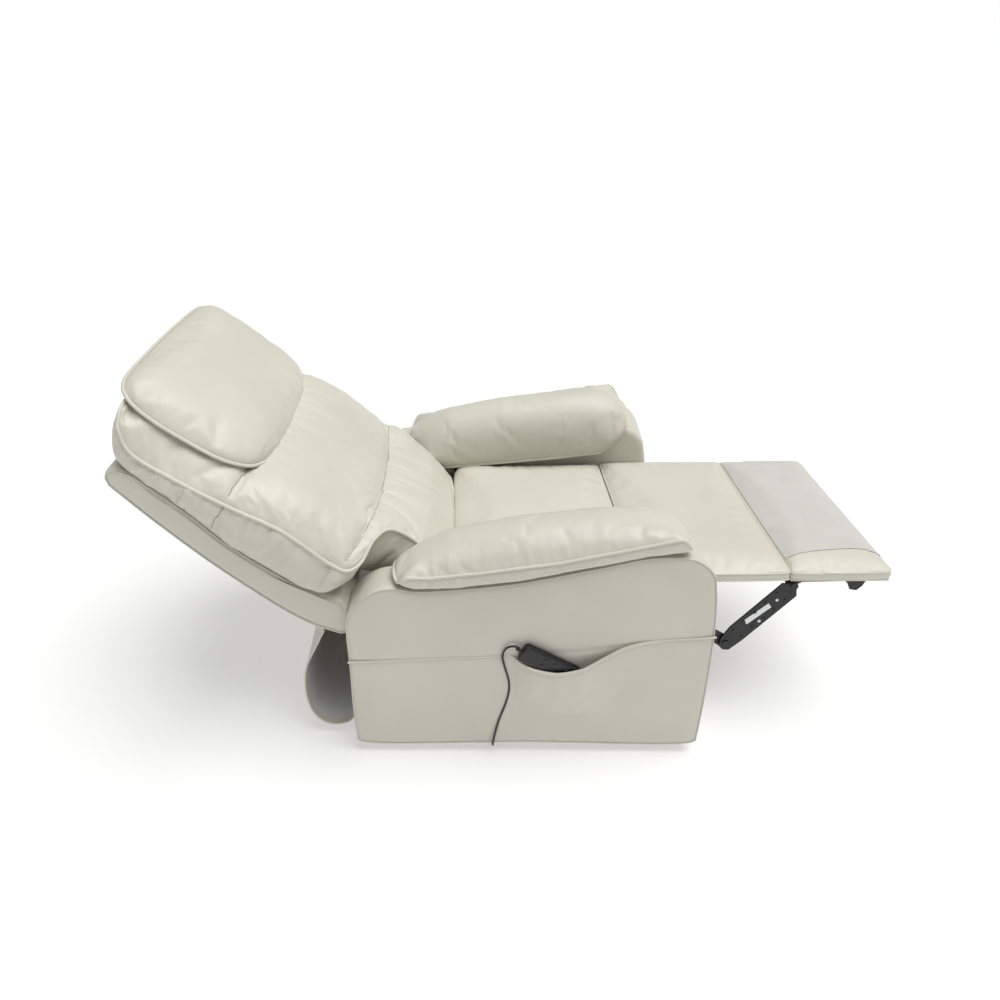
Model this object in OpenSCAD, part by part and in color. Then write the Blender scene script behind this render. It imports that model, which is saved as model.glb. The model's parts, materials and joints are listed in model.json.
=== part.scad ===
// Power-lift massage recliner, shown reclined with its footrest out.
// +X is forward, +Y is the sitter's left, +Z is up. The origin is on the floor, under the
// middle of the base's centre foot. All sizes are in millimetres.

/* [Arms] */
// Overall width across the outer faces of the arms
chair_w = 820; // [740:10:900]
// Thickness of one arm
arm_t = 131; // [120:1:150]
// Height of the top of the arm's front end above the floor
arm_h = 570; // [540:5:620]
// Length of the arm from front to back
arm_len = 830; // [800:5:880]
// Clearance between the floor and the underside of the arms
arm_clear = 30; // [24:1:45]
// Thickness of the padded arm cover
cover_t = 8; // [5:1:14]

/* [Seat and back] */
// Height of the seat above the floor
seat_h = 450; // [430:5:480]
// Thickness of the seat cushion
seat_pad_t = 64; // [45:1:66]
// Rear edge of the seat cushion
seat_rear_x = -165; // [-165:1:-150]
// Angle of the reclined back above the horizontal
recline = 38; // [30:1:48]
// Length of the back above its pivot
back_len = 790; // [680:10:860]
// Width of the padded back
back_w = 744; // [680:4:780]
// Width of the headrest pillow
headrest_w = 636; // [560:4:680]
// Thickness of the headrest pillow
headrest_t = 56; // [40:1:70]

/* [Footrest] */
// Distance from the origin to the tip of the footrest
foot_tip_x = 861; // [800:1:900]
// Length of the ottoman board at the footrest's front end
ottoman_len = 235; // [200:1:260]
// Thickness of the footrest padding
foot_pad_t = 32; // [26:1:36]
// Thickness of the steel link plates
link_t = 4; // [3:0.5:4.5]

/* [Base and lift] */
// Distance from the base frame's side to the inner face of its lift ears
base_inset = 7; // [4:1:20]
// Length of the steel base frame
base_len = 660; // [600:10:700]
// Side of the square base tube
base_tube = 30; // [25:1:32]
// Height of the rubber feet
foot_h = 6; // [4:0.5:8]
// Radius of the main pivot pins
pin_r = 8; // [6:0.5:9]

/* [Handset] */
// Length of the handset
handset_l = 150; // [130:1:160]
// Width of the handset
handset_w = 46; // [40:1:52]
// Thickness of the handset
handset_t = 18; // [15:0.5:20]
// Diameter of the handset's cord
cord_d = 5; // [4:0.1:6]

/* [Hidden] */
$fn = 40;
fit = 0.05;               // radial running clearance of a pin in its bore
open_fit = 1.2;           // radial clearance at the lift linkage's open pivot
between = chair_w - 2 * arm_t;  // opening between the arms
half = chair_w / 2;
arm_in = between / 2;
seat_half = arm_in - 5;
foot_half = arm_in - 3;
arm_x0 = -417;
arm_x1 = arm_x0 + arm_len;

// Planes of the flat link plates, as distances of their inner faces from the centre
front_link_y = arm_in - 11;
rear_link_y = front_link_y - 6;
plate_y = rear_link_y - 8;
bracket_y = plate_y - 7;
rod_y = bracket_y - 6;
lift_arm_y = rod_y - 6;
lift_link_y = lift_arm_y - 7;
ear_y = lift_link_y - 6;
base_half = ear_y - base_inset;

// Pivots, each given as [x, z]
back_pivot = [-250, 400];
lift_a1 = [220, 55];
lift_b1 = [-80, 105];
lift_a2 = [166, 75];
lift_b2 = [-240, 150];
foot_c = [365, 301];
ottoman_x0 = foot_tip_x - ottoman_len;
foot_h_pin = [ottoman_x0 + 14, 388];
foot_k = [(foot_c[0] + foot_h_pin[0]) / 2 - 2.5, 216];
torque_r = 14;
crank_r = 60;
crank_a = 125;
motor_pivot = [-262, 75];
back_crank_r = 120;
back_crank_a = 17.5;
back_motor_pivot = [175, 262];
front_tube = [190, 235];
rear_tube = [-190, 235];
lift_pin = lift_a1 + crank_r * [cos(crank_a), sin(crank_a)];
back_pin = back_pivot + back_crank_r * [sin(back_crank_a), -cos(back_crank_a)];
seq_pin = foot_c + 45 * [cos(-40), sin(-40)];

cushion_z = seat_h - seat_pad_t - 1;
frame_top = cushion_z - 7;
seat_front_x = 270;
board_z = 399;
board_t = 11;
pad_z = board_z + board_t + 0.5;
motor_y = 90;             // distance of each massage motor from the centre

// ---------- helpers ----------

// Extrudes an X-Z drawing between two Y positions
module slab(y0, y1) {
    translate([0, y1, 0]) rotate([90, 0, 0]) linear_extrude(y1 - y0) children();
}

// The same drawing on both sides of the chair, from y0 outwards
module both(y0, t) {
    for (s = [-1, 1])
        slab(s > 0 ? y0 : -y0 - t, s > 0 ? y0 + t : -y0) children();
}

// Round bar or bore along Y at an [x, z] point
module bar(p, r, y0, y1) {
    translate([p[0], y1, p[1]]) rotate([90, 0, 0]) cylinder(r = r, h = y1 - y0);
}

module bars(p, r, y0, y1) {
    bar(p, r, y0, y1);
    bar(p, r, -y1, -y0);
}

module spot(p, r) {
    translate(p) circle(r);
}

module strap(p, q, r) {
    hull() {
        spot(p, r);
        spot(q, r);
    }
}

// Straight piece from one [x, z] point to another: children are drawn along +X from p
module along(p, q) {
    a = atan2(q[1] - p[1], q[0] - p[0]);
    translate([p[0], 0, p[1]]) rotate([0, -a, 0]) children();
}

module box(lo, hi) {
    translate(lo) cube(hi - lo);
}

// The back's own axes: X is out of the padding, Z runs up the back from its pivot
module on_back() {
    translate([back_pivot[0], 0, back_pivot[1]]) rotate([0, recline - 90, 0]) children();
}

// One point on a smooth curve through four points
function blend_point(a, b, c, d, t) =
    0.5 * ((2 * b) + (c - a) * t + (2 * a - 5 * b + 4 * c - d) * t * t
    + (3 * b - a - 3 * c + d) * t * t * t);

// Closed smooth outline through a list of points
function smooth(p, steps = 4) = let (n = len(p)) [
    for (i = [0 : n - 1], j = [0 : steps - 1])
        blend_point(p[(i + n - 1) % n], p[i], p[(i + 1) % n], p[(i + 2) % n], j / steps)];

// ---------- base and lift ----------

module base_frame() {
    color("#2b2c2e") {
        z0 = foot_h;
        z1 = foot_h + base_tube;
        x1 = base_len / 2;
        y1 = base_half;
        difference() {
            union() {
                for (s = [-1, 1])
                    box([-x1, s > 0 ? y1 - base_tube : -y1, z0], [x1, s > 0 ? y1 : base_tube - y1, z1]);
                for (x = [-x1, -base_tube / 2, x1 - base_tube])
                    box([x, -y1 + 1, z0], [x + base_tube, y1 - 1, z1]);
                both(y1 - 1, link_t + base_inset + 1)
                    polygon([[120, z0 + 4], [260, z0 + 4], [246, 76], [206, 78], [180, 96], [150, 96]]);
                for (s = [-1, 1])
                    box([-x1, s * 12 - 3, z0 + 5], [-x1 + 90, s * 12 + 3, 92]);
            }
            bar(lift_a1, torque_r + fit, -half, half);
            bar(lift_a2, pin_r + fit, -half, half);
            bar(motor_pivot, 6 + fit, -40, 40);
        }
        bar(motor_pivot, 6, -17, 17);
    }
}

module foot_pads() {
    color("#1c1c1d")
        for (p = [[-1, -1], [-1, 1], [1, -1], [1, 1], [0, 0]])
            translate([p[0] * (base_len / 2 - base_tube / 2), p[1] * (base_half - base_tube / 2), 0])
                cylinder(r = base_tube / 2 - 1, h = foot_h);
}

module lift_arms() {
    color("#232426") {
        difference() {
            both(lift_arm_y, 5) strap(lift_a1, lift_b1, 17);
            bar(lift_b1, pin_r + fit, -half, half);
        }
        bar(lift_a1, torque_r, -lift_arm_y - 8, lift_arm_y + 8);
        for (s = [-1, 1])
            slab(s * 13 - 3, s * 13 + 3) strap(lift_a1, lift_pin, 11);
        bar(lift_pin, 5, -17, 17);
    }
}

module rear_lift_links() {
    color("#232426")
        difference() {
            both(lift_link_y, 5) strap(lift_a2, lift_b2, 15);
            bar(lift_a2, pin_r + fit, -half, half);
            bar(lift_b2, pin_r + open_fit, -half, half);
        }
}

// A pin along Y on each side with a thin head, on its inner end or else on its outer end
module headed_pins(p, r, y0, y1, inner = true) {
    head_t = 1.2;
    bars(p, r, y0, y1);
    bars(p, r + 4, inner ? y0 - head_t : y1 - 0.1, inner ? y0 : y1 + head_t - 0.1);
}

module base_pins() {
    color("#9a9c9f") headed_pins(lift_a2, pin_r, ear_y - 6, lift_link_y + 5.3, false);
}

// Linear actuator: gearbox, motor can and outer tube, from its rear pivot towards the rod's end
module actuator(p, q, tube_l, can_side) {
    along(p, q) difference() {
        union() {
            rotate([90, 0, 0]) translate([0, 0, -8]) cylinder(r = 14, h = 16);
            box([6, -8, -11], [34, 8, 11]);
            box([30, -24, -24], [84, 24, 24]);
            translate([80, 0, 0]) rotate([0, 90, 0]) cylinder(r = 16, h = tube_l);
            translate([74, can_side[0], can_side[1]]) rotate([0, 90, 0]) cylinder(r = 25, h = 92);
        }
        rotate([90, 0, 0]) translate([0, 0, -30]) cylinder(r = 6.6, h = 60);
        translate([90, 0, 0]) rotate([0, 90, 0]) cylinder(r = 9.5, h = tube_l + 10);
    }
}

// Sliding rod with an open eye at its far end
module actuator_rod(p, q, inside, eye) {
    l = norm(q - p);
    along(p, q) difference() {
        union() {
            translate([inside, 0, 0]) rotate([0, 90, 0]) cylinder(r = 9, h = l - inside - eye - 2);
            translate([l, 5, 0]) rotate([90, 0, 0]) cylinder(r = eye + 5, h = 10);
        }
        translate([l, 30, 0]) rotate([90, 0, 0]) cylinder(r = eye, h = 60);
    }
}

module lift_motor() {
    color("#17181a") actuator(motor_pivot, lift_pin, 190, [0, 46]);
}

module lift_rod() {
    color("#b9bbbe") actuator_rod(motor_pivot, lift_pin, 150, 14);
}

// ---------- chassis steel ----------

plate_outline = [[-275, 138], [-262, 128], [-238, 126], [-218, 134], [-208, 190], [-118, 196],
    [-106, 100], [-94, 86], [-68, 86], [-54, 98], [-40, 244], [300, 252], [352, 278], [374, 284],
    [380, 300], [374, 318], [340, 325], [-196, 325], [-214, 330], [-224, 412], [-238, 424],
    [-262, 424], [-276, 410], [-284, 300]];

module side_plate(s) {
    y0 = s > 0 ? plate_y : -plate_y - link_t;
    difference() {
        union() {
            slab(y0, y0 + link_t) polygon(plate_outline);
            box([-165, s > 0 ? plate_y - 26 : -plate_y - link_t, 325],
                [seat_front_x - 10, s > 0 ? plate_y + link_t : -plate_y + 26, 329]);
        }
        for (p = [back_pivot, lift_b1, lift_b2])
            bar(p, pin_r + fit, -half, half);
        bar(foot_c, 12 + fit, -half, half);
        for (p = bolt_spots)
            bar(p, 4 + fit, -half, half);
        for (p = [front_tube, rear_tube])
            bar(p, 6, -half, half);
    }
}

module side_plate_left() {
    color("#1d1e20") side_plate(1);
}

module side_plate_right() {
    color("#1d1e20") side_plate(-1);
}

module cross_tubes() {
    y1 = plate_y - 0.1;
    color("#1d1e20") {
        for (p = [front_tube, rear_tube])
            bar(p, torque_r, -y1, y1);
        difference() {
            for (s = [-1, 1])
                slab(s * 13 - 3, s * 13 + 3) strap(front_tube, back_motor_pivot, 13);
            bar(back_motor_pivot, 6 + fit, -40, 40);
        }
        bar(back_motor_pivot, 6, -17, 17);
    }
}

module pivot_pins() {
    color("#a5a7aa") {
        headed_pins(back_pivot, pin_r, bracket_y - 0.2, plate_y + link_t + 2);
        headed_pins(lift_b1, pin_r, lift_arm_y - 0.2, plate_y + link_t + 2);
        headed_pins(lift_b2, pin_r, lift_link_y - 0.2, plate_y + link_t + 2);
    }
}

bolt_spots = [[-262, 215], [-70, 262], [140, 275]];

module chassis_bolts() {
    color("#8d8f92")
        for (p = bolt_spots) {
            bars(p, 4, plate_y - 1, arm_in + 30);
            bars(p, 7, plate_y - 4.5, plate_y - 0.1);
            difference() {
                bars(p, 8, plate_y + link_t + 0.1, arm_in - 0.1);
                bars(p, 4.2, plate_y, arm_in + 1);
            }
        }
}

// ---------- seat ----------

module seat_frame() {
    color("#c9a777")
        difference() {
            box([seat_rear_x, -plate_y + 4, 329.5], [seat_front_x - 8, plate_y - 4, frame_top]);
            box([seat_rear_x + 26, -plate_y + 32, 300], [seat_front_x - 34, plate_y - 32, 420]);
        }
}

// Flat zig-zag of steel wire in X-Y, one of several across the frame
module zigzag(x0, x1, w, n, t) {
    step = (x1 - x0) / n;
    up = [for (i = [0 : n]) [x0 + i * step, (i % 2 == 0 ? -w : w) + t]];
    down = [for (i = [n : -1 : 0]) [x0 + i * step, (i % 2 == 0 ? -w : w) - t]];
    polygon(concat(up, down));
}

module seat_springs() {
    color("#7c7e80")
        for (y = [-160 : 80 : 160])
            translate([0, y, frame_top + 0.2]) linear_extrude(4)
                zigzag(seat_rear_x + 12, seat_front_x - 20, 22, 16, 3);
}

module seat_deck() {
    color("#161617")
        box([seat_rear_x - 4, -seat_half, frame_top + 4.6], [seat_front_x - 4, seat_half, frame_top + 6.4]);
}

module seat_cushion() {
    x1 = seat_front_x;
    z1 = seat_h;
    color("#dedbcf")
        slab(-seat_half, seat_half)
            polygon([[seat_rear_x, cushion_z], [x1 - 4, cushion_z], [x1, cushion_z + 12],
                [x1, z1 - 8], [x1 - 10, z1], [seat_rear_x + 14, z1], [seat_rear_x, z1 - 12]]);
}

// Closed pod that holds a massage motor's turning weight; its axis runs along Y
module pod(r, l) {
    difference() {
        translate([0, l / 2, 0]) rotate([90, 0, 0]) cylinder(r = r, h = l);
        translate([0, l / 2 - 3, 0]) rotate([90, 0, 0]) cylinder(r = r - 2, h = l - 6);
        translate([0, l, 0]) rotate([90, 0, 0]) cylinder(r = 2 + fit, h = 2 * l);
    }
}

// Half-round weight on its shaft
module weight(r, l) {
    translate([0, l / 2, 0]) rotate([90, 0, 0]) cylinder(r = 2, h = l);
    intersection() {
        translate([0, l / 2 - 6, 0]) rotate([90, 0, 0]) cylinder(r = r - 4, h = l - 12);
        translate([-r, -l, -r]) cube([2 * r, 2 * l, r]);
    }
}

seat_motor = [90, 352];

module seat_massagers() {
    color("#3a3b3d")
        for (s = [-1, 1])
            translate([seat_motor[0], s * motor_y, seat_motor[1]]) pod(15, 56);
}

module seat_weights() {
    color("#b48a4a")
        for (s = [-1, 1])
            translate([seat_motor[0], s * motor_y, seat_motor[1]]) weight(15, 56);
}

module chaise_pad() {
    x0 = seat_front_x + 4;
    x1 = ottoman_x0 - 1.5;
    z1 = pad_z + foot_pad_t;
    color("#dedbcf")
        slab(-foot_half, foot_half)
            polygon([[x0, 405], [x1, 400], [x1, z1 - 4], [x1 - 10, z1], [x0 + 16, z1 + 4], [x0, z1 - 4]]);
}

// ---------- arms ----------

// The arm's side outline; k is how far it is drawn inside the cover's face
function arm_points(k) = let (x0 = arm_x0 + k, x1 = arm_x1 - k, z0 = arm_clear + k, h = arm_h - k) [
    [x0, z0], [x0 + 1, h - 160], [x0 + 17, h - 122], [x0 + 46, h - 97], [x0 + 90, h - 78],
    [x0 + 118, h - 79], [x0 + 162, h - 89], [x0 + 240, h - 83], [x0 + 393, h - 64],
    [x1 - 265, h - 26], [x1 - 161, h - 1], [x1 - 111, h], [x1 - 63, h - 4], [x1 - 27, h - 29],
    [x1 - 9, h - 55], [x1 - 1, h - 110], [x1, h - 220], [x1 - 2, z0]];

module arm_slab(s, k, y0, y1) {
    slab(s > 0 ? y0 : -y1, s > 0 ? y1 : -y0) polygon(arm_points(k));
}

module arm_cover(s) {
    difference() {
        arm_slab(s, 0, arm_in, half);
        arm_slab(s, cover_t, arm_in + cover_t, half - cover_t);
        for (p = bolt_spots)
            bar(p, 4.4, s > 0 ? arm_in - 1 : -arm_in - 20, s > 0 ? arm_in + 20 : -arm_in + 1);
    }
}

module arm_frame(s) {
    y0 = arm_in + cover_t + 1;
    difference() {
        union() {
            arm_slab(s, cover_t + 14, y0, y0 + 15);
            arm_slab(s, cover_t + 14, half - cover_t - 16, half - cover_t - 1);
            for (x = [arm_x0 + 40, arm_x1 - 75])
                box([x, s > 0 ? y0 + 14 : -half + cover_t + 15, 70],
                    [x + 35, s > 0 ? half - cover_t - 15 : -y0 - 14, 400]);
        }
        slab(s > 0 ? y0 - 5 : -half, s > 0 ? half : -y0 + 5)
            polygon([[-290, 290], [300, 300], [300, 400], [180, 420], [-290, 380]]);
        for (p = bolt_spots)
            bar(p, 4 + fit, -half, half);
    }
}

module arm_frame_left() {
    color("#c9a777") arm_frame(1);
}

module arm_frame_right() {
    color("#c9a777") arm_frame(-1);
}

module arm_cover_left() {
    color("#d8d5c8") arm_cover(1);
}

module arm_cover_right() {
    color("#d8d5c8") arm_cover(-1);
}

// Pillow that lies along the arm's sloping top and hangs over its inner edge
pillow_x0 = -290;
pillow_x1 = 335;

module arm_pillow(s) {
    slope = atan2(90, 558);
    y0 = arm_in - 36;
    y1 = arm_in - 1.7;
    section = [[y1, 17], [y1, -25], [y0 + 8, -25], [y0, 0], [y0 + 3, 44], [y0 + 27, 68],
        [y0 + 86, 78], [y0 + 142, 72], [half + 12, 52], [half + 14, 44], [half - 6, 20], [half - 20, 17]];
    color("#dedbcf")
        intersection() {
            translate([0, 0, arm_h - 48]) rotate([0, -slope, 0])
                translate([pillow_x0 - 50, 0, 0]) rotate([90, 0, 90])
                    linear_extrude(pillow_x1 - pillow_x0 + 100)
                    polygon([for (p = section) [s * p[0], p[1]]]);
            box([pillow_x0, -half - 40, 300], [pillow_x1, half + 40, 800]);
        }
}

module arm_pillow_left() {
    arm_pillow(1);
}

module arm_pillow_right() {
    arm_pillow(-1);
}

module cross_rails() {
    y = arm_in - 0.2;
    color("#c9a777") {
        box([345, -y, arm_clear + 5], [375, y, arm_clear + 30]);
        box([-405, -y, arm_clear + 5], [-385, y, arm_clear + 130]);
    }
}

module control_box() {
    color("#1b1c1e") box([-150, 60, 170], [-60, 190, 224]);
}

module power_supply() {
    color("#1b1c1e")
        difference() {
            box([-150, -190, 170], [-60, -60, 230]);
            translate([-155, -125, 200]) rotate([0, 90, 0]) cylinder(r = 9, h = 20);
        }
}

// ---------- handset, its pocket and its cord ----------

handset_y = -half - 14;
handset_tilt = 30;
handset_at = [-12, 338];
pocket = [-28, 250, 150];

module side_pocket() {
    y0 = -half - 31;
    y1 = -half - 0.3;
    mouth = [[pocket[0], 296], [20, 284], [110, 272], [190, 294], [pocket[1], 334]];
    outline = concat([[pocket[1], pocket[2] + 30], [pocket[1] - 30, pocket[2]],
        [pocket[0] + 30, pocket[2]], [pocket[0], pocket[2] + 30]], mouth);
    inside = concat([[pocket[1] - 3, pocket[2] + 30], [pocket[1] - 32, pocket[2] + 3],
        [pocket[0] + 32, pocket[2] + 3], [pocket[0] + 3, pocket[2] + 30]],
        [for (p = mouth) [min(max(p[0], pocket[0] + 3), pocket[1] - 3), 400]]);
    color("#d5d2c5")
        difference() {
            slab(y0, y1) polygon(outline);
            slab(y0 + 2.5, y1 + 1) polygon(inside);
        }
}

// The handset's own axes: X along it from the cord's end, Z across it, -Y out of its face
module on_handset() {
    translate([handset_at[0], handset_y, handset_at[1]]) rotate([0, handset_tilt, 0]) children();
}

module handset_outline(k) {
    hull() {
        translate([12, 0]) circle(12 - k, $fn = 32);
        translate([12, handset_w - 24]) circle(12 - k, $fn = 32);
        translate([handset_l - 14, 0]) circle(12 - k, $fn = 32);
        translate([handset_l - 14, handset_w - 24]) circle(12 - k, $fn = 32);
    }
}

// Buttons: [along, across] from the cord's end, in the handset's own axes
button_spots = [[58, -2], [58, -20], [84, -2], [84, -20], [110, -2], [110, -20]];
button_r = 5.5;
button_travel = 0.8;

module handset_case() {
    y = handset_t / 2;
    color("#151617")
        on_handset() difference() {
            translate([0, 0, -handset_w + 24]) slab(-y, y) handset_outline(0);
            translate([0, 0, -handset_w + 24]) slab(-y + 2, y - 2) handset_outline(2);
            for (b = button_spots)
                translate([b[0], 0, b[1]]) rotate([90, 0, 0]) cylinder(r = button_r + 0.3, h = handset_t);
            translate([-5, 0, -11]) rotate([0, 90, 0]) cylinder(r = 4.1, h = 10);
        }
}

module handset_board() {
    color("#2f6b45")
        on_handset() box([14, 2, -handset_w + 20], [handset_l - 20, 3.6, 8]);
}

module handset_gland() {
    color("#151617")
        on_handset() translate([0, 0, -11]) difference() {
            union() {
                translate([-14, 0, 0]) rotate([0, 90, 0]) cylinder(r1 = 3.4, r2 = 4, h = 14);
                translate([-0.1, 0, 0]) rotate([0, 90, 0]) cylinder(r = 4, h = 4);
            }
            translate([-15, 0, 0]) rotate([0, 90, 0]) cylinder(r = cord_d / 2 + fit, h = 8);
        }
}

module button(i) {
    y = handset_t / 2;
    b = button_spots[i];
    on_handset() translate([b[0], 0, b[1]]) {
        translate([0, -y + 3.4, 0]) rotate([90, 0, 0]) cylinder(r = button_r, h = 4.6);
        translate([0, -y + 3.4, 0]) rotate([90, 0, 0]) cylinder(r = button_r + 1.2, h = 1.2);
    }
}

module button_recline() {
    color("#8d9093") button(0);
}

module button_raise() {
    color("#8d9093") button(1);
}

module button_massage() {
    color("#8d9093") button(2);
}

module button_heat() {
    color("#8d9093") button(3);
}

module button_mode() {
    color("#8d9093") button(4);
}

module button_strength() {
    color("#8d9093") button(5);
}

// Grommet in the underside of the arm, where the cord goes in
grommet_at = [-80, -half + 45, arm_clear];

module cord_grommet() {
    color("#151617")
        translate(grommet_at) difference() {
            translate([0, 0, -4]) cylinder(r = 9, h = 3.8);
            translate([0, 0, -5]) cylinder(r = cord_d / 2 + fit, h = 6);
        }
}

// The cord's route from the gland down the side and under the arm, chosen by hand
cord_route = [[-22, -424, 336], [-30, -424, 341], [-40, -423, 341], [-50, -421, 335],
    [-57, -418, 322], [-60, -416, 305], [-57, -415, 285], [-51, -414, 260], [-45, -414, 235],
    [-43, -414, 212], [-46, -414, 185], [-53, -414, 155], [-62, -414, 125], [-70, -415, 95],
    [-76, -416, 65], [-80, -417, 42], [-80, -412, 28], [-80, -400, 19], [-80, -384, 15],
    [-80, -372, 17], [-80, -366, 22], [-80, -365, 27]];

function unit(v) = v / norm(v);
function route_at(i) = cord_route[min(max(i, 0), len(cord_route) - 1)];
function cord_points() = concat([for (i = [0 : len(cord_route) - 2], j = [0 : 2])
    blend_point(route_at(i - 1), route_at(i), route_at(i + 1), route_at(i + 2), j / 3)],
    [route_at(len(cord_route) - 1)]);

module swept_tube(pts, r, sides) {
    n = len(pts);
    rings = [for (i = [0 : n - 1])
        let (d = unit(pts[min(i + 1, n - 1)] - pts[max(i - 1, 0)]),
            u = unit(cross(d, [1, 0.2, 0.1])),
            v = cross(d, u))
        for (k = [0 : sides - 1])
            pts[i] + r * (cos(360 * k / sides) * u + sin(360 * k / sides) * v)];
    sides_f = [for (i = [0 : n - 2], k = [0 : sides - 1])
        let (a = i * sides + k, b = i * sides + (k + 1) % sides)
        [a, b, b + sides, a + sides]];
    caps = [[for (k = [sides - 1 : -1 : 0]) k], [for (k = [0 : sides - 1]) (n - 1) * sides + k]];
    polyhedron(rings, concat(sides_f, caps), convexity = 6);
}

module handset_cord() {
    color("#121213") swept_tube(cord_points(), cord_d / 2, 8);
}

// ---------- back ----------

top_s = back_len - 44;      // top of the rear shell
top_front = 38;             // front of the padding behind the headrest
headrest_s0 = top_s - 272;  // lower edge of the headrest pillow

module back_shell_outline(k) {
    polygon([[-118, 142 + k], [-182 + k, 92 + k], [-197 + k, 185], [-193 + k, 400],
        [-170 + k, top_s - 146], [-150 + k, top_s - 12 - k], [-138, top_s - k], [-98, top_s - k],
        [-93, top_s - 46], [-104, top_s - 186], [-120, top_s - 306], [-118, 250]]);
}

module back_shell() {
    w = back_w / 2 - 12;
    color("#cfccbf")
        on_back() difference() {
            slab(-w, w) back_shell_outline(0);
            slab(-w + 12, w - 12) intersection() {
                back_shell_outline(12);
                translate([-188, 0]) square([400, 2000]);
            }
            slab(-w + 12, w - 12) translate([-130, 165]) square([60, top_s - 190]);
            slab(-bracket_y - link_t - 3, bracket_y + link_t + 3) translate([-156, 60]) square([60, 130]);
        }
}

module back_frame() {
    w = bracket_y - 1;
    color("#c9a777")
        on_back() difference() {
            box([-148, -w, 112], [-122, w, top_s - 126]);
            box([-180, -w + 34, 146], [-100, w - 34, top_s - 160]);
        }
}

module back_springs() {
    color("#7c7e80")
        on_back()
            for (s = [180 : 80 : top_s - 166])
                translate([-121.6, 0, s]) rotate([0, -90, 0]) rotate([0, 0, 90]) translate([0, 0, -4])
                    linear_extrude(4) zigzag(-bracket_y + 12, bracket_y - 12, 14, 18, 2.5);
}

// Padded back: a wide part above the arms and a narrow part that goes down between them
module back_cushion() {
    w = back_w / 2;
    n = arm_in - 38;
    front = 55;               // how far the lower padding stands out of the pivot line
    color("#dedbcf")
        on_back() union() {
            slab(-w, w)
                polygon([[-116, 168], [-116, 250], [-116, top_s - 306], [-102, top_s - 186],
                    [-91, top_s - 56], [-88, top_s], [-60, back_len - 6], [-10, back_len],
                    [top_front - 6, back_len - 8], [top_front, back_len - 60],
                    [top_front, headrest_s0 - 10], [front, headrest_s0 - 60],
                    [front + 6, 200], [front, 168]]);
            slab(-n, n)
                polygon([[-20, -52], [55, -52], [76, -18], [78, 80], [70, 200], [-116, 200],
                    [-116, 150], [-60, 60], [-24, -30]]);
        }
}

back_motors = [[-151, 255], [-151, top_s - 241]];

module back_massagers() {
    color("#3a3b3d")
        on_back()
            for (m = back_motors, s = [-1, 1])
                translate([m[0], s * motor_y, m[1]]) pod(15, 56);
}

module pair_of_weights(m) {
    color("#b48a4a")
        on_back()
            for (s = [-1, 1])
                translate([m[0], s * motor_y, m[1]]) weight(15, 56);
}

module lumbar_weights() {
    pair_of_weights(back_motors[0]);
}

module shoulder_weights() {
    pair_of_weights(back_motors[1]);
}

// Hinge brackets at each side of the back, with the crank that the recline rod pushes
module back_brackets() {
    crank = back_pin - back_pivot;
    c = [crank[0] * sin(recline) + crank[1] * cos(recline),
        -crank[0] * cos(recline) + crank[1] * sin(recline)];
    color("#1d1e20")
        on_back() difference() {
            both(bracket_y, link_t) {
                strap([0, 0], [-126, 100], 21);
                strap([-138, 112], [-138, 330], 14);
                strap([0, 0], c, 15);
            }
            bar([0, 0], pin_r + fit, -half, half);
        }
    color("#1d1e20") bar(back_pin, 6, -bracket_y - link_t, bracket_y + link_t);
}

module headrest_pillow() {
    w = headrest_w / 2;
    s0 = headrest_s0;
    s1 = back_len + 28;
    color("#dedbcf")
        on_back() translate([top_front + 3, 0, 0]) rotate([90, 0, 90]) linear_extrude(headrest_t)
            polygon(smooth([[-w, s1 - 40], [-w + 30, s1], [w - 30, s1], [w, s1 - 40], [w - 14, s0 + 90],
                [w - 60, s0 + 16], [w - 130, s0], [130 - w, s0], [60 - w, s0 + 16], [14 - w, s0 + 90]], 4));
}

module recline_motor() {
    color("#17181a") actuator(back_motor_pivot, back_pin, 176, [42, 0]);
}

module recline_rod() {
    color("#b9bbbe") actuator_rod(back_motor_pivot, back_pin, 140, 14);
}

module sequence_rods() {
    color("#232426")
        difference() {
            both(rod_y, link_t) strap(back_pin, seq_pin, 9);
            bar(back_pin, 6 + fit, -half, half);
        }
}

// Slack fabric skirt that hangs from the back's lower edge to the rear of the arms
skirt_curve = [[-478, 326], [-505, 270], [-530, 215], [-538, 165], [-536, 110], [-524, 66],
    [-500, 38], [-468, 30], [-436, 40], [-422, 56]];

module rear_skirt() {
    n = len(skirt_curve);
    function side(i) = let (d = unit(skirt_curve[min(i + 1, n - 1)] - skirt_curve[max(i - 1, 0)]))
        [-d[1], d[0]];
    color("#cfccbf")
        slab(-back_w / 2 + 22, back_w / 2 - 22)
            polygon(concat(skirt_curve, [for (i = [n - 1 : -1 : 0]) skirt_curve[i] + 2.5 * side(i)]));
}

// ---------- footrest ----------

module footrest_rear_links() {
    color("#1a1b1d") {
        difference() {
            both(rear_link_y, link_t) strap(foot_c, foot_k, 17);
            for (k = [0.4, 0.7])
                bar(foot_c + k * (foot_k - foot_c), 5, -half, half);
        }
        bar(foot_c, 12, -rear_link_y - link_t, rear_link_y + link_t);
        both(bracket_y, link_t) strap(foot_c, seq_pin, 11);
        bars(foot_k, 6, rear_link_y, front_link_y + link_t + 1);
        bars(foot_k, 9, front_link_y + link_t + 0.3, front_link_y + link_t + 2.5);
    }
}

// Main footrest plate: a wide pressed strip with a head under the ottoman
link_dir = unit(foot_h_pin - foot_k);
link_side = [-link_dir[1], link_dir[0]];
link_l = norm(foot_h_pin - foot_k);
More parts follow.
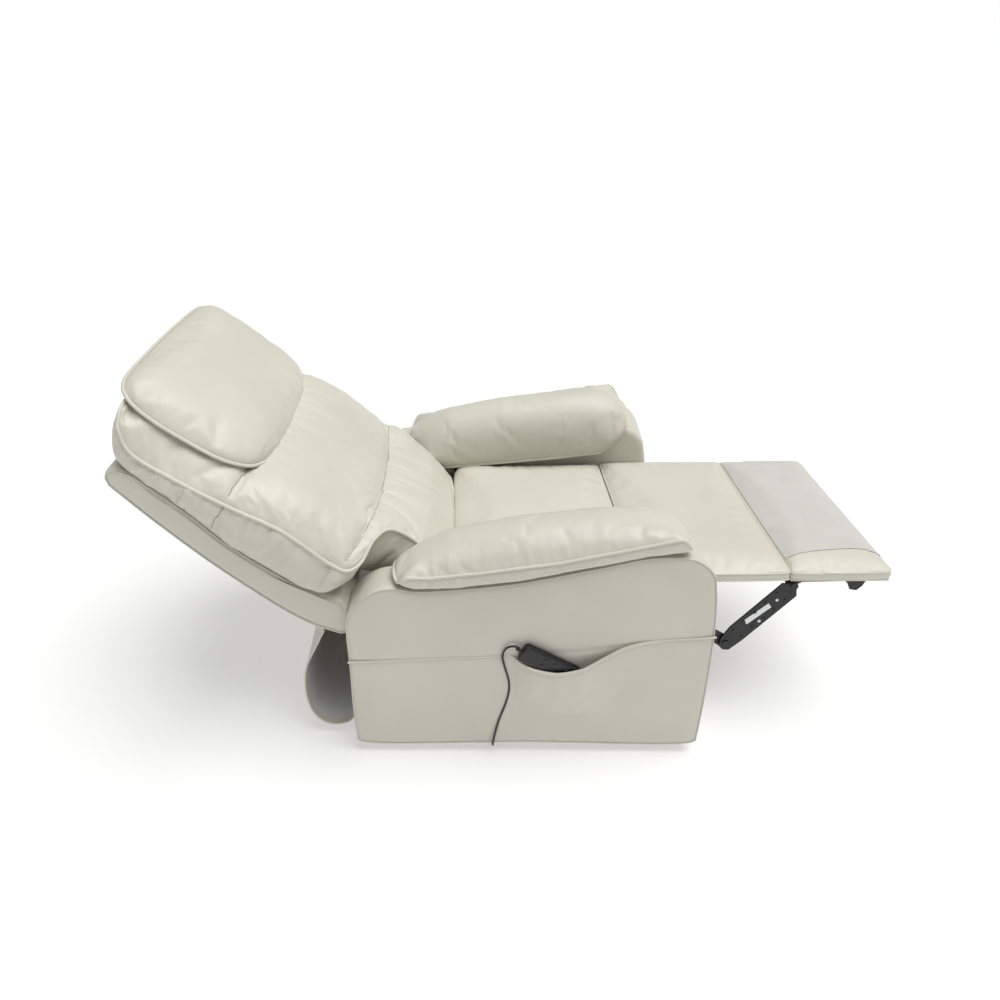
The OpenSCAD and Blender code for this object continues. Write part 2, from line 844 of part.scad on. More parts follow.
// Outline of the plate as [along from the knee, across], narrowed at its top to clear the board
link_outline = [[-18, -8], [-10, -20], [30, -24], [link_l - 16, -26], [link_l, -9], [link_l, 9],
    [link_l - 12, 26], [40, 27], [4, 20], [-16, 8]];

module footrest_front_links() {
    rivets = [0.18 : 0.16 : 0.86];
    color("#1a1b1d") {
        difference() {
            both(front_link_y, link_t)
                union() {
                    polygon([for (p = link_outline) foot_k + p[0] * link_dir + p[1] * link_side]);
                    spot(foot_h_pin, 10);
                }
            bar(foot_k, 6 + fit, -half, half);
            bar(foot_h_pin, 6 + fit, -half, half);
        }
        for (k = rivets, s = [-1, 1])
            bars(foot_k + k * link_l * link_dir + s * 15 * link_side, 3.5,
                front_link_y + link_t - 1, front_link_y + link_t + 1.4);
    }
}

module ottoman_board() {
    color("#c9a777")
        box([ottoman_x0 + 4, -foot_half + 4, board_z], [foot_tip_x - 14, foot_half - 4, board_z + board_t]);
}

leg_motor_x = ottoman_x0 + 119;
leg_motor_r = 12;

module leg_massagers() {
    color("#3a3b3d")
        for (s = [-1, 1])
            translate([leg_motor_x, s * motor_y, pad_z + foot_pad_t / 2]) pod(leg_motor_r, 50);
}

module leg_weights() {
    color("#b48a4a")
        for (s = [-1, 1])
            translate([leg_motor_x, s * motor_y, pad_z + foot_pad_t / 2]) weight(leg_motor_r, 50);
}

module ottoman_pad() {
    x0 = ottoman_x0 + 0.5;
    z1 = pad_z + foot_pad_t;
    color("#dedbcf")
        difference() {
            slab(-foot_half, foot_half)
                polygon([[x0, pad_z], [foot_tip_x - 8, pad_z], [foot_tip_x, pad_z + 10],
                    [foot_tip_x - 2, z1 - 12], [foot_tip_x - 14, z1 - 2], [x0 + 10, z1], [x0, z1 - 4]]);
            for (s = [-1, 1])
                bar([leg_motor_x, pad_z + foot_pad_t / 2], leg_motor_r + 0.3,
                    s * motor_y - 26, s * motor_y + 26);
        }
}

module ottoman_brackets() {
    x0 = ottoman_x0 + 2;
    x1 = foot_tip_x - 39;
    h = foot_h_pin[0];
    color("#1a1b1d") {
        difference() {
            union() {
                both(bracket_y, link_t)
                    polygon([[x0, board_z - 0.2], [x0, 384], [h - 8, 374], [h + 12, 374], [h + 28, 384],
                        [x1 - 54, 386], [x1 - 46, 380], [x1 - 38, 362], [x1 - 22, 359], [x1 - 10, 372],
                        [x1, board_z - 0.2]]);
                for (s = [-1, 1])
                    box([x0, s > 0 ? bracket_y - 22 : -bracket_y - link_t, board_z - 3.2],
                        [x1, s > 0 ? bracket_y + link_t : -bracket_y + 22, board_z - 0.2]);
            }
            for (x = [h + 50, h + 100])
                bar([x, 391], 3, -half, half);
        }
        bars(foot_h_pin, 6, bracket_y, front_link_y + link_t + 1);
        bars(foot_h_pin, 9, front_link_y + link_t + 0.3, front_link_y + link_t + 2.5);
    }
}

base_frame();
foot_pads();
lift_arms();
rear_lift_links();
base_pins();
lift_motor();
lift_rod();
side_plate_left();
side_plate_right();
cross_tubes();
pivot_pins();
chassis_bolts();
seat_frame();
seat_springs();
seat_deck();
seat_cushion();
seat_massagers();
seat_weights();
chaise_pad();
arm_frame_left();
arm_frame_right();
arm_cover_left();
arm_cover_right();
arm_pillow_left();
arm_pillow_right();
cross_rails();
side_pocket();
control_box();
power_supply();
handset_case();
handset_board();
handset_gland();
cord_grommet();
handset_cord();
button_recline();
button_raise();
button_massage();
button_heat();
button_mode();
button_strength();
rear_skirt();
back_frame();
back_springs();
back_shell();
back_cushion();
back_brackets();
back_massagers();
lumbar_weights();
shoulder_weights();
headrest_pillow();
recline_motor();
recline_rod();
sequence_rods();
footrest_rear_links();
footrest_front_links();
ottoman_board();
ottoman_pad();
ottoman_brackets();
leg_massagers();
leg_weights();
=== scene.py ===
# %% [markdown]
# # A power-lift massage recliner
# The mechanism, the frame and every pivot come from a CAD model that is already finished, so nothing
# here moves or resizes it. This lesson dresses that model: padded leather cushions, piping, a pocket,
# a handset on its cord, and a finish for each steel, wood and plastic part. We load the model first.

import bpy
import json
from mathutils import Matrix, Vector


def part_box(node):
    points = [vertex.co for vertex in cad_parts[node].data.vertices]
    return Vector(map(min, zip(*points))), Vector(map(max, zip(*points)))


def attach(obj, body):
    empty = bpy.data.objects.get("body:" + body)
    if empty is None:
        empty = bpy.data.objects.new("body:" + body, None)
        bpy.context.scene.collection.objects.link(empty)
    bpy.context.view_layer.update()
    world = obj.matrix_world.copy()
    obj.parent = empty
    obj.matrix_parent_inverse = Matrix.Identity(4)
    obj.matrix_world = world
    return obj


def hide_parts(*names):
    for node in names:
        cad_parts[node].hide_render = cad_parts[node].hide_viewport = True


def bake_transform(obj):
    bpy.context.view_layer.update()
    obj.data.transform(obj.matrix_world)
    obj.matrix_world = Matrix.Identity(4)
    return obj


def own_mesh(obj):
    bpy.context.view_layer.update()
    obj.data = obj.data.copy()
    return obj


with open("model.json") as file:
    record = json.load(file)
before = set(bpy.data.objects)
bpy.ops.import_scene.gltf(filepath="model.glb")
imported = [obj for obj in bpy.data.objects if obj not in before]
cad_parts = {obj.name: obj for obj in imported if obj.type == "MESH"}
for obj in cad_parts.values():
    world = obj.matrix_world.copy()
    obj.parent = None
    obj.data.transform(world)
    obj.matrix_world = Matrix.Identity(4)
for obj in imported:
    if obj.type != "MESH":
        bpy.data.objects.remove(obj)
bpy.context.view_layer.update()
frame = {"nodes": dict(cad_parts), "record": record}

# %% Tools for the whole lesson
import json
import math

import bmesh
import bpy
import numpy as np
from mathutils import Matrix, Vector, kdtree, noise
from mathutils.bvhtree import BVHTree

scene = bpy.context.scene
MM = 0.001

# %% [markdown]
# ## Camera
# The camera stands at the sitter's right, a little above head height, and looks down across the chair.
# Its matrix is built from three directions: right, up and backwards. A small lens shift frames the chair
# without turning the camera, as a view camera does.

# %% Camera
CAMERA_AT = (-0.156, -1.794, 1.556)
PITCH, YAW, ROLL = math.radians(23.42), math.radians(-2.27), math.radians(-1.67)

look = Vector((math.sin(YAW) * math.cos(PITCH), math.cos(YAW) * math.cos(PITCH), -math.sin(PITCH)))
level = Vector((math.cos(YAW), -math.sin(YAW), 0))
upright = level.cross(look)
right = math.cos(ROLL) * level + math.sin(ROLL) * upright
up = -math.sin(ROLL) * level + math.cos(ROLL) * upright
camera = bpy.data.objects.new("camera", bpy.data.cameras.new("camera"))
camera.data.lens = 27.7
camera.data.shift_x = 0.0711
camera.data.shift_y = -0.1049
camera.matrix_world = Matrix.Translation(CAMERA_AT) @ Matrix((right, up, -look)).transposed().to_4x4()
scene.collection.objects.link(camera)
scene.camera = camera
print("camera looks along", [round(x, 3) for x in look])

# %% [markdown]
# ## Curves through points
# Seams, piping and the cord are smooth lines through a few chosen points. A Catmull-Rom curve passes
# through every point that it is given, which makes it easy to place. It can then be resampled at equal
# steps, so that tubes and panels built on it have even faces.

# %% Smooth lines
def smooth_line(points, steps=8, closed=False):
    p = np.array(points, float)
    p = np.vstack([p[-1], p, p[0], p[1]]) if closed else np.vstack([2 * p[0] - p[1], p, 2 * p[-1] - p[-2]])
    t = (np.arange(steps) / steps)[:, None]
    made = []
    for a, b, c, d in zip(p[:-3], p[1:-2], p[2:-1], p[3:]):
        e, f, g = (max(float(np.linalg.norm(n - m)), 1e-9) ** 0.5 for m, n in ((a, b), (b, c), (c, d)))
        out = f * ((b - a) / e - (c - a) / (e + f) + (c - b) / f)
        into = f * ((c - b) / f - (d - b) / (f + g) + (d - c) / g)
        made.append((2 * b - 2 * c + out + into) * t ** 3 + (3 * c - 3 * b - 2 * out - into) * t ** 2 + out * t + b)
    if not closed:
        made.append(p[-2][None])
    return np.vstack(made)


def even_steps(line, count):
    length = np.concatenate([[0], np.cumsum(np.linalg.norm(np.diff(line, axis=0), axis=1))])
    at = np.linspace(0, length[-1], count)
    return np.stack([np.interp(at, length, line[:, i]) for i in range(line.shape[1])], axis=1)


def line_length(line):
    return float(np.linalg.norm(np.diff(line, axis=0), axis=1).sum())


# %% [markdown]
# ## The handset's cord
# A thin black cord leaves the handset's strain relief, loops over the pocket's edge and goes down the
# arm into a grommet in its underside. It is a curve with a round bevel: the curve is the cord's centre
# line, so its length can be measured. The route's points are the ones that the CAD model uses.

# %% Cord
CORD_D = 0.005
CORD_ROUTE = [
    (-22, -424, 336), (-30, -424, 341), (-40, -423, 341), (-50, -421, 335), (-57, -418, 322),
    (-60, -416, 305), (-57, -415, 285), (-51, -414, 260), (-45, -414, 235), (-43, -414, 212),
    (-46, -414, 185), (-53, -414, 155), (-62, -414, 125), (-70, -415, 95), (-76, -416, 65),
    (-80, -417, 42), (-80, -412, 28), (-80, -400, 19), (-80, -384, 15), (-80, -372, 17),
    (-80, -366, 22), (-80, -365, 27)]


def curve_object(name, line, radius, closed=False, sides=4):
    data = bpy.data.curves.new(name, "CURVE")
    data.dimensions = "3D"
    data.bevel_depth = 1.0
    data.bevel_resolution = sides
    data.use_fill_caps = not closed
    spline = data.splines.new("POLY")
    spline.points.add(len(line) - 1)
    for point, at in zip(spline.points, line):
        point.co = (*at, 1)
        point.radius = radius
    spline.use_cyclic_u = closed
    made = bpy.data.objects.new(name, data)
    scene.collection.objects.link(made)
    return made


cord_line = smooth_line(np.array(CORD_ROUTE) * MM, steps=6)
cord = curve_object("cord", cord_line, CORD_D / 2)
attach(cord, "chassis")
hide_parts("handset_cord")
print("cord length", round(line_length(cord_line), 3))

# %% [markdown]
# ## Studio
# The chair stands on a white table that glows a little, as in a catalogue: the floor fades to white and
# the shadows stay faint. The camera sees a pure white sky, but the light that the sky sends is weaker,
# which the Light Path node tells apart. One wide soft sun from overhead gives the cushions their form.

# %% Studio
FLOOR_SIZE = 60
SKY_LIGHT = 0.32
world = bpy.data.worlds.new("studio")
scene.world = world
world.use_nodes = True
sky = world.node_tree
path = sky.nodes.new("ShaderNodeLightPath")
power = sky.nodes.new("ShaderNodeMapRange")
power.inputs["To Min"].default_value = SKY_LIGHT
power.inputs["To Max"].default_value = 1.0
sky.links.new(path.outputs["Is Camera Ray"], power.inputs["Value"])
sky.links.new(power.outputs["Result"], sky.nodes["Background"].inputs["Strength"])
sky.nodes["Background"].inputs["Color"].default_value = (1, 1, 1, 1)
scene.view_settings.view_transform = "Standard"
sun = bpy.data.objects.new("sun", bpy.data.lights.new("sun", "SUN"))
sun.data.energy = 2.85
sun.data.angle = math.radians(50)
sun.rotation_euler = Vector((-0.32, 0.03, -1)).to_track_quat("-Z", "Y").to_euler()
scene.collection.objects.link(sun)
bm = bmesh.new()
bmesh.ops.create_grid(bm, x_segments=8, y_segments=8, size=FLOOR_SIZE / 2)
floor = bpy.data.objects.new("floor", bpy.data.meshes.new("floor"))
bm.to_mesh(floor.data)
bm.free()
scene.collection.objects.link(floor)
table_top = bpy.data.materials.new("white_table")
table_top.use_nodes = True
paint = table_top.node_tree.nodes["Principled BSDF"]
paint.inputs["Base Color"].default_value = (0.60, 0.60, 0.60, 1)
paint.inputs["Roughness"].default_value = 0.9
paint.inputs["Emission Color"].default_value = (1, 1, 1, 1)
paint.inputs["Emission Strength"].default_value = 0.38
floor.data.materials.append(table_top)

# %% [markdown]
# ## Finishes
# Each finish is a small node tree on a Principled shader. The patterns read Object coordinates, so they
# stay on the piece whatever its shape. Leather has a fine pebble grain (a Voronoi pattern at about a
# millimetre), broad soft creases, and a slow drift of tone, and it is a little glossier on the creases.

# %% Node helpers
def new_material(name, colour, roughness, **sockets):
    mat = bpy.data.materials.new(name)
    mat.use_nodes = True
    shader = mat.node_tree.nodes["Principled BSDF"]
    shader.inputs["Base Color"].default_value = (*colour, 1)
    shader.inputs["Roughness"].default_value = roughness
    for socket, value in sockets.items():
        shader.inputs[socket.replace("_", " ")].default_value = value
    mat.node_tree.nodes.new("ShaderNodeTexCoord").name = "place"
    return mat


def texture(mat, kind, scale, stretch=(1, 1, 1), **inputs):
    tree = mat.node_tree
    mapping = tree.nodes.new("ShaderNodeMapping")
    mapping.inputs["Scale"].default_value = stretch
    tree.links.new(tree.nodes["place"].outputs["Object"], mapping.inputs["Vector"])
    node = tree.nodes.new("ShaderNodeTex" + kind)
    tree.links.new(mapping.outputs["Vector"], node.inputs["Vector"])
    node.inputs["Scale"].default_value = scale
    for socket, value in inputs.items():
        node.inputs[socket].default_value = value
    return node


def height(mat, source, distance, strength=1.0):
    """Adds a bump on top of the bumps that the material already has."""
    tree = mat.node_tree
    shader = tree.nodes["Principled BSDF"]
    bump = tree.nodes.new("ShaderNodeBump")
    bump.inputs["Distance"].default_value = distance
    bump.inputs["Strength"].default_value = strength
    tree.links.new(source, bump.inputs["Height"])
    if shader.inputs["Normal"].is_linked:
        tree.links.new(shader.inputs["Normal"].links[0].from_socket, bump.inputs["Normal"])
    tree.links.new(bump.outputs["Normal"], shader.inputs["Normal"])


def tint(mat, factor, colour_a, colour_b, low=0.3, high=0.7):
    """Mixes two colours by a texture's value."""
    tree = mat.node_tree
    ramp = tree.nodes.new("ShaderNodeValToRGB")
    ramp.color_ramp.elements[0].position = low
    ramp.color_ramp.elements[1].position = high
    ramp.color_ramp.elements[0].color = (*colour_a, 1)
    ramp.color_ramp.elements[1].color = (*colour_b, 1)
    tree.links.new(factor, ramp.inputs["Fac"])
    tree.links.new(ramp.outputs["Color"], tree.nodes["Principled BSDF"].inputs["Base Color"])


def vary_roughness(mat, factor, low, high):
    tree = mat.node_tree
    span = tree.nodes.new("ShaderNodeMapRange")
    span.inputs["To Min"].default_value = low
    span.inputs["To Max"].default_value = high
    tree.links.new(factor, span.inputs["Value"])
    tree.links.new(span.outputs["Result"], tree.nodes["Principled BSDF"].inputs["Roughness"])


def shade_of(colour, k):
    return tuple(min(1, c * k) for c in colour)


# %% Leather
CREAM = (0.615, 0.598, 0.515)


def leather(name, colour=CREAM, crease=0.0007):
    mat = new_material(name, colour, 0.45, Coat_Weight=0.08, Coat_Roughness=0.4, Sheen_Weight=0.05)
    drift = texture(mat, "Noise", 5.0, Detail=3.0)
    tint(mat, drift.outputs["Fac"], shade_of(colour, 0.96), shade_of(colour, 1.03))
    folds = texture(mat, "Noise", 28.0, stretch=(1, 0.6, 1.3), Detail=4.0, Roughness=0.55)
    height(mat, folds.outputs["Fac"], crease, 0.5)
    grain = texture(mat, "Voronoi", 850.0)
    height(mat, grain.outputs["Distance"], 0.00018, 0.5)
    vary_roughness(mat, folds.outputs["Fac"], 0.38, 0.54)
    return mat


LEATHER = leather("cream_leather")
PIPING = leather("piping_leather", shade_of(CREAM, 1.02), crease=0.0004)
# The seam tubes' dark colour is painted shade: a dark copy of the leather that stands for the shade in each seam's
# groove.
SEAM_SHADE = leather("painted_seam_shade", shade_of(CREAM, 0.42), crease=0.0004)

# %% [markdown]
# ## How a cushion is built
# A cushion could be a box with rounded edges, but real ones are panels sewn round a rim: a front panel,
# side walls and a back. So a form is made of a grid (the front), its rim extruded ring by ring (the
# walls) and a second grid (the back), in plain numbers from -1 to 1. Each form is then laid onto loops
# that give the rim its true place, and the panel rises from the rim to its crown.

# %% Cushion form
def panel_form(across, along, rings):
    """A closed form: x and y from -1 to 1 on the panels, -z counts the wall's rings."""
    bm = bmesh.new()
    bmesh.ops.create_grid(bm, x_segments=across, y_segments=along, size=1)
    front = bm.faces[:]
    back = bmesh.ops.duplicate(bm, geom=front)
    back_faces = [g for g in back["geom"] if isinstance(g, bmesh.types.BMFace)]
    back_verts = [g for g in back["geom"] if isinstance(g, bmesh.types.BMVert)]
    inner = [v for v in back_verts if not v.is_boundary]
    bmesh.ops.reverse_faces(bm, faces=back_faces)
    bmesh.ops.translate(bm, verts=back_verts, vec=(0, 0, -rings))
    bmesh.ops.translate(bm, verts=inner, vec=(0, 0, -0.5))
    rim = [e for e in bm.edges if e.is_boundary and e.verts[0].co.z > -0.01 and e.verts[1].co.z > -0.01]
    if rings == 0:
        rim = []
    for _ in range(rings):
        made = bmesh.ops.extrude_edge_only(bm, edges=rim)["geom"]
        bmesh.ops.translate(bm, verts=[g for g in made if isinstance(g, bmesh.types.BMVert)], vec=(0, 0, -1))
        rim = [g for g in made if isinstance(g, bmesh.types.BMEdge) and g.is_boundary]
    bmesh.ops.remove_doubles(bm, verts=bm.verts[:], dist=1e-4)
    return bm


def rim_place(u, v):
    """How far a grid point is towards the rim, 0 to 1, and its place round it, 0 to 4."""
    r = np.maximum(np.abs(u), np.abs(v))
    safe = np.where(r > 1e-9, r, 1)
    a, b = u / safe, v / safe
    t = np.where(a > 1 - 1e-6, (b + 1) / 2,
        np.where(b > 1 - 1e-6, 1 + (1 - a) / 2,
        np.where(a < -1 + 1e-6, 2 + (1 - b) / 2, 3 + (a + 1) / 2)))
    return r, t


SIDE = 120


def four_sides(*sides):
    """A closed loop whose four sides, each a few points from corner to corner, get equal shares."""
    return np.vstack([even_steps(smooth_line(side, 24), SIDE + 1)[:-1] for side in sides])


def loop_at(loop, t):
    i = (t * SIDE) % (4 * SIDE)
    low = np.floor(i).astype(int)
    k = (i - low)[:, None]
    return loop[low % len(loop)] * (1 - k) + loop[(low + 1) % len(loop)] * k


def grown(loop, d):
    """The loop moved outwards by d in its own plane."""
    ahead, behind = np.roll(loop, -1, 0), np.roll(loop, 1, 0)
    run = (ahead - behind)[:, :2]
    run /= np.linalg.norm(run, axis=1)[:, None] + 1e-12
    made = loop.copy()
    made[:, 0] += d * run[:, 1]
    made[:, 1] -= d * run[:, 0]
    return made


def lay_form(name, bm, loops, centre, crown, back, place, firm=4.0):
    """Lays a form on its loops. crown and back give the height of each panel from its own (a, b)."""
    me = bpy.data.meshes.new(name)
    bm.to_mesh(me)
    bm.free()
    co = np.zeros(len(me.vertices) * 3)
    me.vertices.foreach_get("co", co)
    u, v, k = co.reshape(-1, 3).T
    k = -k
    r, t = rim_place(u, v)
    ring = np.clip(np.round(k - 0.01).astype(int), 0, len(loops) - 1)
    at = np.zeros((len(u), 3))
    for i, loop in enumerate(loops):
        here = ring == i
        at[here] = loop_at(loop, t[here])
    reach = 0.55 * r + 0.45 * np.sin(r * math.pi / 2)
    flat = np.array(centre)[None] * (1 - reach[:, None]) + at[:, :2] * reach[:, None]
    rise = np.sqrt(np.clip(1 - reach ** firm, 0, 1))
    is_back = k > len(loops) - 1 + 0.25
    panel = np.where(is_back, back(flat[:, 0], flat[:, 1]), crown(flat[:, 0], flat[:, 1]))
    level = at[:, 2] + (panel - at[:, 2]) * np.where(is_back, np.clip(6 * (1 - reach), 0, 1), rise)
    world_at = place(flat[:, 0], flat[:, 1], level)
    me.vertices.foreach_set("co", world_at.ravel())
    bm = bmesh.new()
    bm.from_mesh(me)
    bmesh.ops.recalc_face_normals(bm, faces=bm.faces[:])
    bm.to_mesh(me)
    bm.free()
    made = bpy.data.objects.new(name, me)
    scene.collection.objects.link(made)
    return made, {"front": (k < 0.01), "rim": (k < 0.01) & (r > 1 - 1e-6), "back": is_back | (k > len(loops) - 1.1),
                  "wall": (k > 0.01) & ~is_back, "r": r}


# %% [markdown]
# ## Stuffing a cushion
# Leather over foam bulges between its seams and puckers along them. The cloth simulation does this: the
# cloth is given a little more area than its pattern, air pressure lifts it, and the seams are pinned.
# Twenty frames are enough. How far a point may move is capped, so that the cushion keeps its size.

# %% Stuffing
def positions(me):
    co = np.zeros(len(me.vertices) * 3)
    me.vertices.foreach_get("co", co)
    return co.reshape(-1, 3)


def bake_modifiers(piece):
    """Replaces a piece's mesh by what its modifiers make of it."""
    graph = bpy.context.evaluated_depsgraph_get()
    graph.update()
    made = bpy.data.meshes.new_from_object(piece.evaluated_get(graph))
    piece.modifiers.clear()
    old = piece.data
    piece.data = made
    bpy.data.meshes.remove(old)
    made.name = piece.name


def subdivide(piece, levels=1):
    mod = piece.modifiers.new("smooth", "SUBSURF")
    mod.levels = mod.render_levels = levels
    bake_modifiers(piece)
    piece.data.shade_smooth()


def stuff(piece, hold, pressure=4.0, spare=0.04, cap=0.018, stiffness=12.0, bending=0.4):
    """Runs the cloth simulation on a piece. hold is each point's pin weight, 0 to 1."""
    start = positions(piece.data).copy()
    group = piece.vertex_groups.new(name="pins")
    for weight in np.unique(np.round(hold, 1)):
        if weight > 0:
            group.add(np.nonzero(np.abs(hold - weight) < 0.05)[0].tolist(), float(weight), "REPLACE")
    mod = piece.modifiers.new("stuffing", "CLOTH")
    cloth = mod.settings
    cloth.quality = 5
    cloth.mass = 0.3
    cloth.tension_stiffness = cloth.compression_stiffness = stiffness
    cloth.shear_stiffness = stiffness / 2
    cloth.bending_stiffness = bending
    cloth.shrink_min = -spare
    cloth.use_pressure = True
    cloth.uniform_pressure_force = pressure
    cloth.vertex_group_mass = "pins"
    cloth.effector_weights.gravity = 0
    mod.point_cache.frame_start, mod.point_cache.frame_end = 1, 20
    for i in range(1, 21):
        scene.frame_set(i)
    bake_modifiers(piece)
    scene.frame_set(1)
    step = positions(piece.data) - start
    size = np.linalg.norm(step, axis=1)
    lost = ~np.isfinite(size) | (size > 10 * cap)
    step[lost], size[lost] = 0, 0
    step *= (cap * np.tanh(size / cap) / np.maximum(size, 1e-9))[:, None]
    piece.data.vertices.foreach_set("co", (start + step).ravel())
    piece.vertex_groups.clear()
    print(piece.name, "stuffed, moved up to", round(1000 * float(size.max()), 1), "mm")


# %% [markdown]
# ## Seams, creases and gathers
# After the stuffing come the details that a sewer leaves: a crease where two panels meet, and short
# gathers that run square to a piped edge. Both move the points near a line along their normals: the
# crease by a narrow bell curve, the gathers by noise that changes only along the line.

# %% Sewing details
def near_line(piece, line):
    """Each point's distance to a line, and how far along the line its nearest point is."""
    tree = kdtree.KDTree(len(line))
    for i, p in enumerate(line):
        tree.insert(Vector(p), i)
    tree.balance()
    step = np.concatenate([[0], np.cumsum(np.linalg.norm(np.diff(line, axis=0), axis=1))])
    found = [tree.find(v.co) for v in piece.data.vertices]
    return np.array([f[2] for f in found]), step[[f[1] for f in found]]


def move_out(piece, amount):
    normals = np.zeros(len(piece.data.vertices) * 3)
    piece.data.vertices.foreach_get("normal", normals)
    at = positions(piece.data) + normals.reshape(-1, 3) * amount[:, None]
    piece.data.vertices.foreach_set("co", at.ravel())
    piece.data.update()


def crease(piece, line, width=0.006, depth=0.004):
    d, _ = near_line(piece, line)
    move_out(piece, -depth * np.exp(-(d / width) ** 2) - 0.4 * depth * np.exp(-(d / (4 * width)) ** 2))


def gathers(piece, line, depth=0.003, reach=0.035, pitch=0.022, seed=1.0):
    d, along = near_line(piece, line)
    waves = np.array([noise.noise(Vector((a / pitch, seed, 4 * x / reach * 0.15)))
                      + 0.5 * noise.noise(Vector((2.3 * a / pitch, seed + 9, 0))) for a, x in zip(along, d)])
    patches = np.array([noise.noise(Vector((a / (6 * pitch), seed + 5, 0))) for a in along])
    strength = np.clip(0.55 + 1.4 * patches, 0.1, 1.3)
    move_out(piece, depth * waves * strength * np.exp(-d / reach) * np.clip(d / 0.006, 0, 1))


def piping(name, line, body, slot_name, closed=True, radius=0.0042):
    """A round welt sewn into a seam, as a tube along it."""
    made = curve_object(name, line, radius, closed, sides=3)
    graph = bpy.context.evaluated_depsgraph_get()
    solid = bpy.data.objects.new(name, bpy.data.meshes.new_from_object(made.evaluated_get(graph)))
    bpy.data.objects.remove(made)
    solid.name = name
    scene.collection.objects.link(solid)
    solid.data.shade_smooth()
    dress(solid, PIPING, body, slot_name)
    return solid


def dress(piece, material, body, slot_name, *stands_for):
    piece.data.materials.clear()
    piece.data.materials.append(material)
    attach(piece, body)
    if stands_for:
        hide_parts(*stands_for)



def seam_shade_line(name, piece, line, body, slot_name, radius=0.0010):
    """Painted shade in a flat seam's groove: a fine dark tube that lies on the piece's surface along a line."""
    tree = BVHTree.FromObject(piece, bpy.context.evaluated_depsgraph_get())
    found = [tree.find_nearest(Vector(p)) for p in line]
    made = curve_object(name, smooth_line(np.array([f[0] - 0.0003 * f[1] for f in found]), 2), radius, sides=2)
    graph = bpy.context.evaluated_depsgraph_get()
    solid = bpy.data.objects.new(name, bpy.data.meshes.new_from_object(made.evaluated_get(graph)))
    bpy.data.objects.remove(made)
    solid.name = name
    scene.collection.objects.link(solid)
    solid.data.shade_smooth()
    dress(solid, SEAM_SHADE, body, slot_name)


# %% [markdown]
# ## The back cushion
# The back has its own axes: s runs up it from the recline pivot, n points out of the padding, and y
# goes across. The cushion is wide above the arms and narrow between them, so its piped rim steps
# inwards over each arm. Its front panel is sewn from three pieces, which leaves two seams across it.

# %% The back's own axes
BACK_PIVOT = (-0.25, 0.40)
UP_BACK = (-math.cos(math.radians(38)), math.sin(math.radians(38)))
OUT_BACK = (math.sin(math.radians(38)), math.cos(math.radians(38)))


def on_back(y, s, n):
    return np.stack([BACK_PIVOT[0] + s * UP_BACK[0] + n * OUT_BACK[0], y + 0 * s,
                     BACK_PIVOT[1] + s * UP_BACK[1] + n * OUT_BACK[1]], axis=-1)


# %% Back cushion
BACK_W = 0.374
side = [(0.224, -0.050, 0.050), (0.238, 0.02, 0.066), (0.243, 0.10, 0.076), (0.262, 0.150, 0.073),
        (0.30, 0.172, 0.052), (0.35, 0.176, 0.010), (BACK_W, 0.196, -0.008), (BACK_W + 0.002, 0.235, -0.013),
        (BACK_W + 0.003, 0.371, -0.006), (BACK_W + 0.001, 0.487, -0.024), (BACK_W - 0.002, 0.604, -0.038),
        (BACK_W - 0.006, 0.731, -0.040), (BACK_W - 0.014, 0.775, -0.012)]
top = [(BACK_W - 0.014, 0.775, -0.012), (0.33, 0.793, 0.014), (0.2, 0.795, 0.020), (0, 0.796, 0.022),
       (-0.2, 0.795, 0.020), (-0.33, 0.793, 0.014), (-BACK_W + 0.014, 0.775, -0.012)]
bottom = [(-0.224, -0.05, 0.050), (-0.1, -0.058, 0.060), (0.1, -0.058, 0.060), (0.224, -0.05, 0.050)]
back_rim = four_sides(side, top, [(-y, s, n) for y, s, n in side[::-1]], bottom)


def back_crown(y, s):
    return np.interp(s, [-0.06, 0.05, 0.12, 0.18, 0.24, 0.34, 0.42, 0.5, 0.6, 0.72, 0.80],
                     [0.058, 0.084, 0.082, 0.062, 0.060, 0.064, 0.058, 0.038, 0.036, 0.032, 0.022])


def shell_front(s):
    return np.interp(s, [-0.05, 0.10, 0.1475, 0.2535, 0.437, 0.563, 0.75], [0, -0.07, -0.09, -0.118, -0.121, -0.104, -0.092])


back_edge = back_rim.copy()
back_edge[:, 0] *= 0.962
back_edge[:, 1] = 0.35 + (back_rim[:, 1] - 0.35) * 0.90
back_edge[:, 2] = shell_front(back_edge[:, 1])
WALL = 11
back_loops = []
for i in range(WALL + 1):
    share = i / WALL
    ring = back_rim * (1 - share) + back_edge * share
    back_loops.append(grown(ring, 0.013 * math.sin(math.pi * share) ** 0.7))
back_cushion, part = lay_form("back_cushion_leather", panel_form(104, 116, WALL), back_loops, (0, 0.36),
                              back_crown, lambda y, s: shell_front(s), on_back, firm=3.2)
rim_line = on_back(*back_rim.T)


def across_back(s_at, s_bow, reach, count=90):
    """A seam from side to side over the front panel, bowed up towards its ends."""
    y = np.linspace(-reach, reach, count)
    s = s_at + s_bow * y ** 2
    w = np.abs(y) / BACK_W
    n = -0.012 + (back_crown(y, s) + 0.012) * np.sqrt(np.clip(1 - w ** 3.2, 0, 1))
    return on_back(y, s, n)


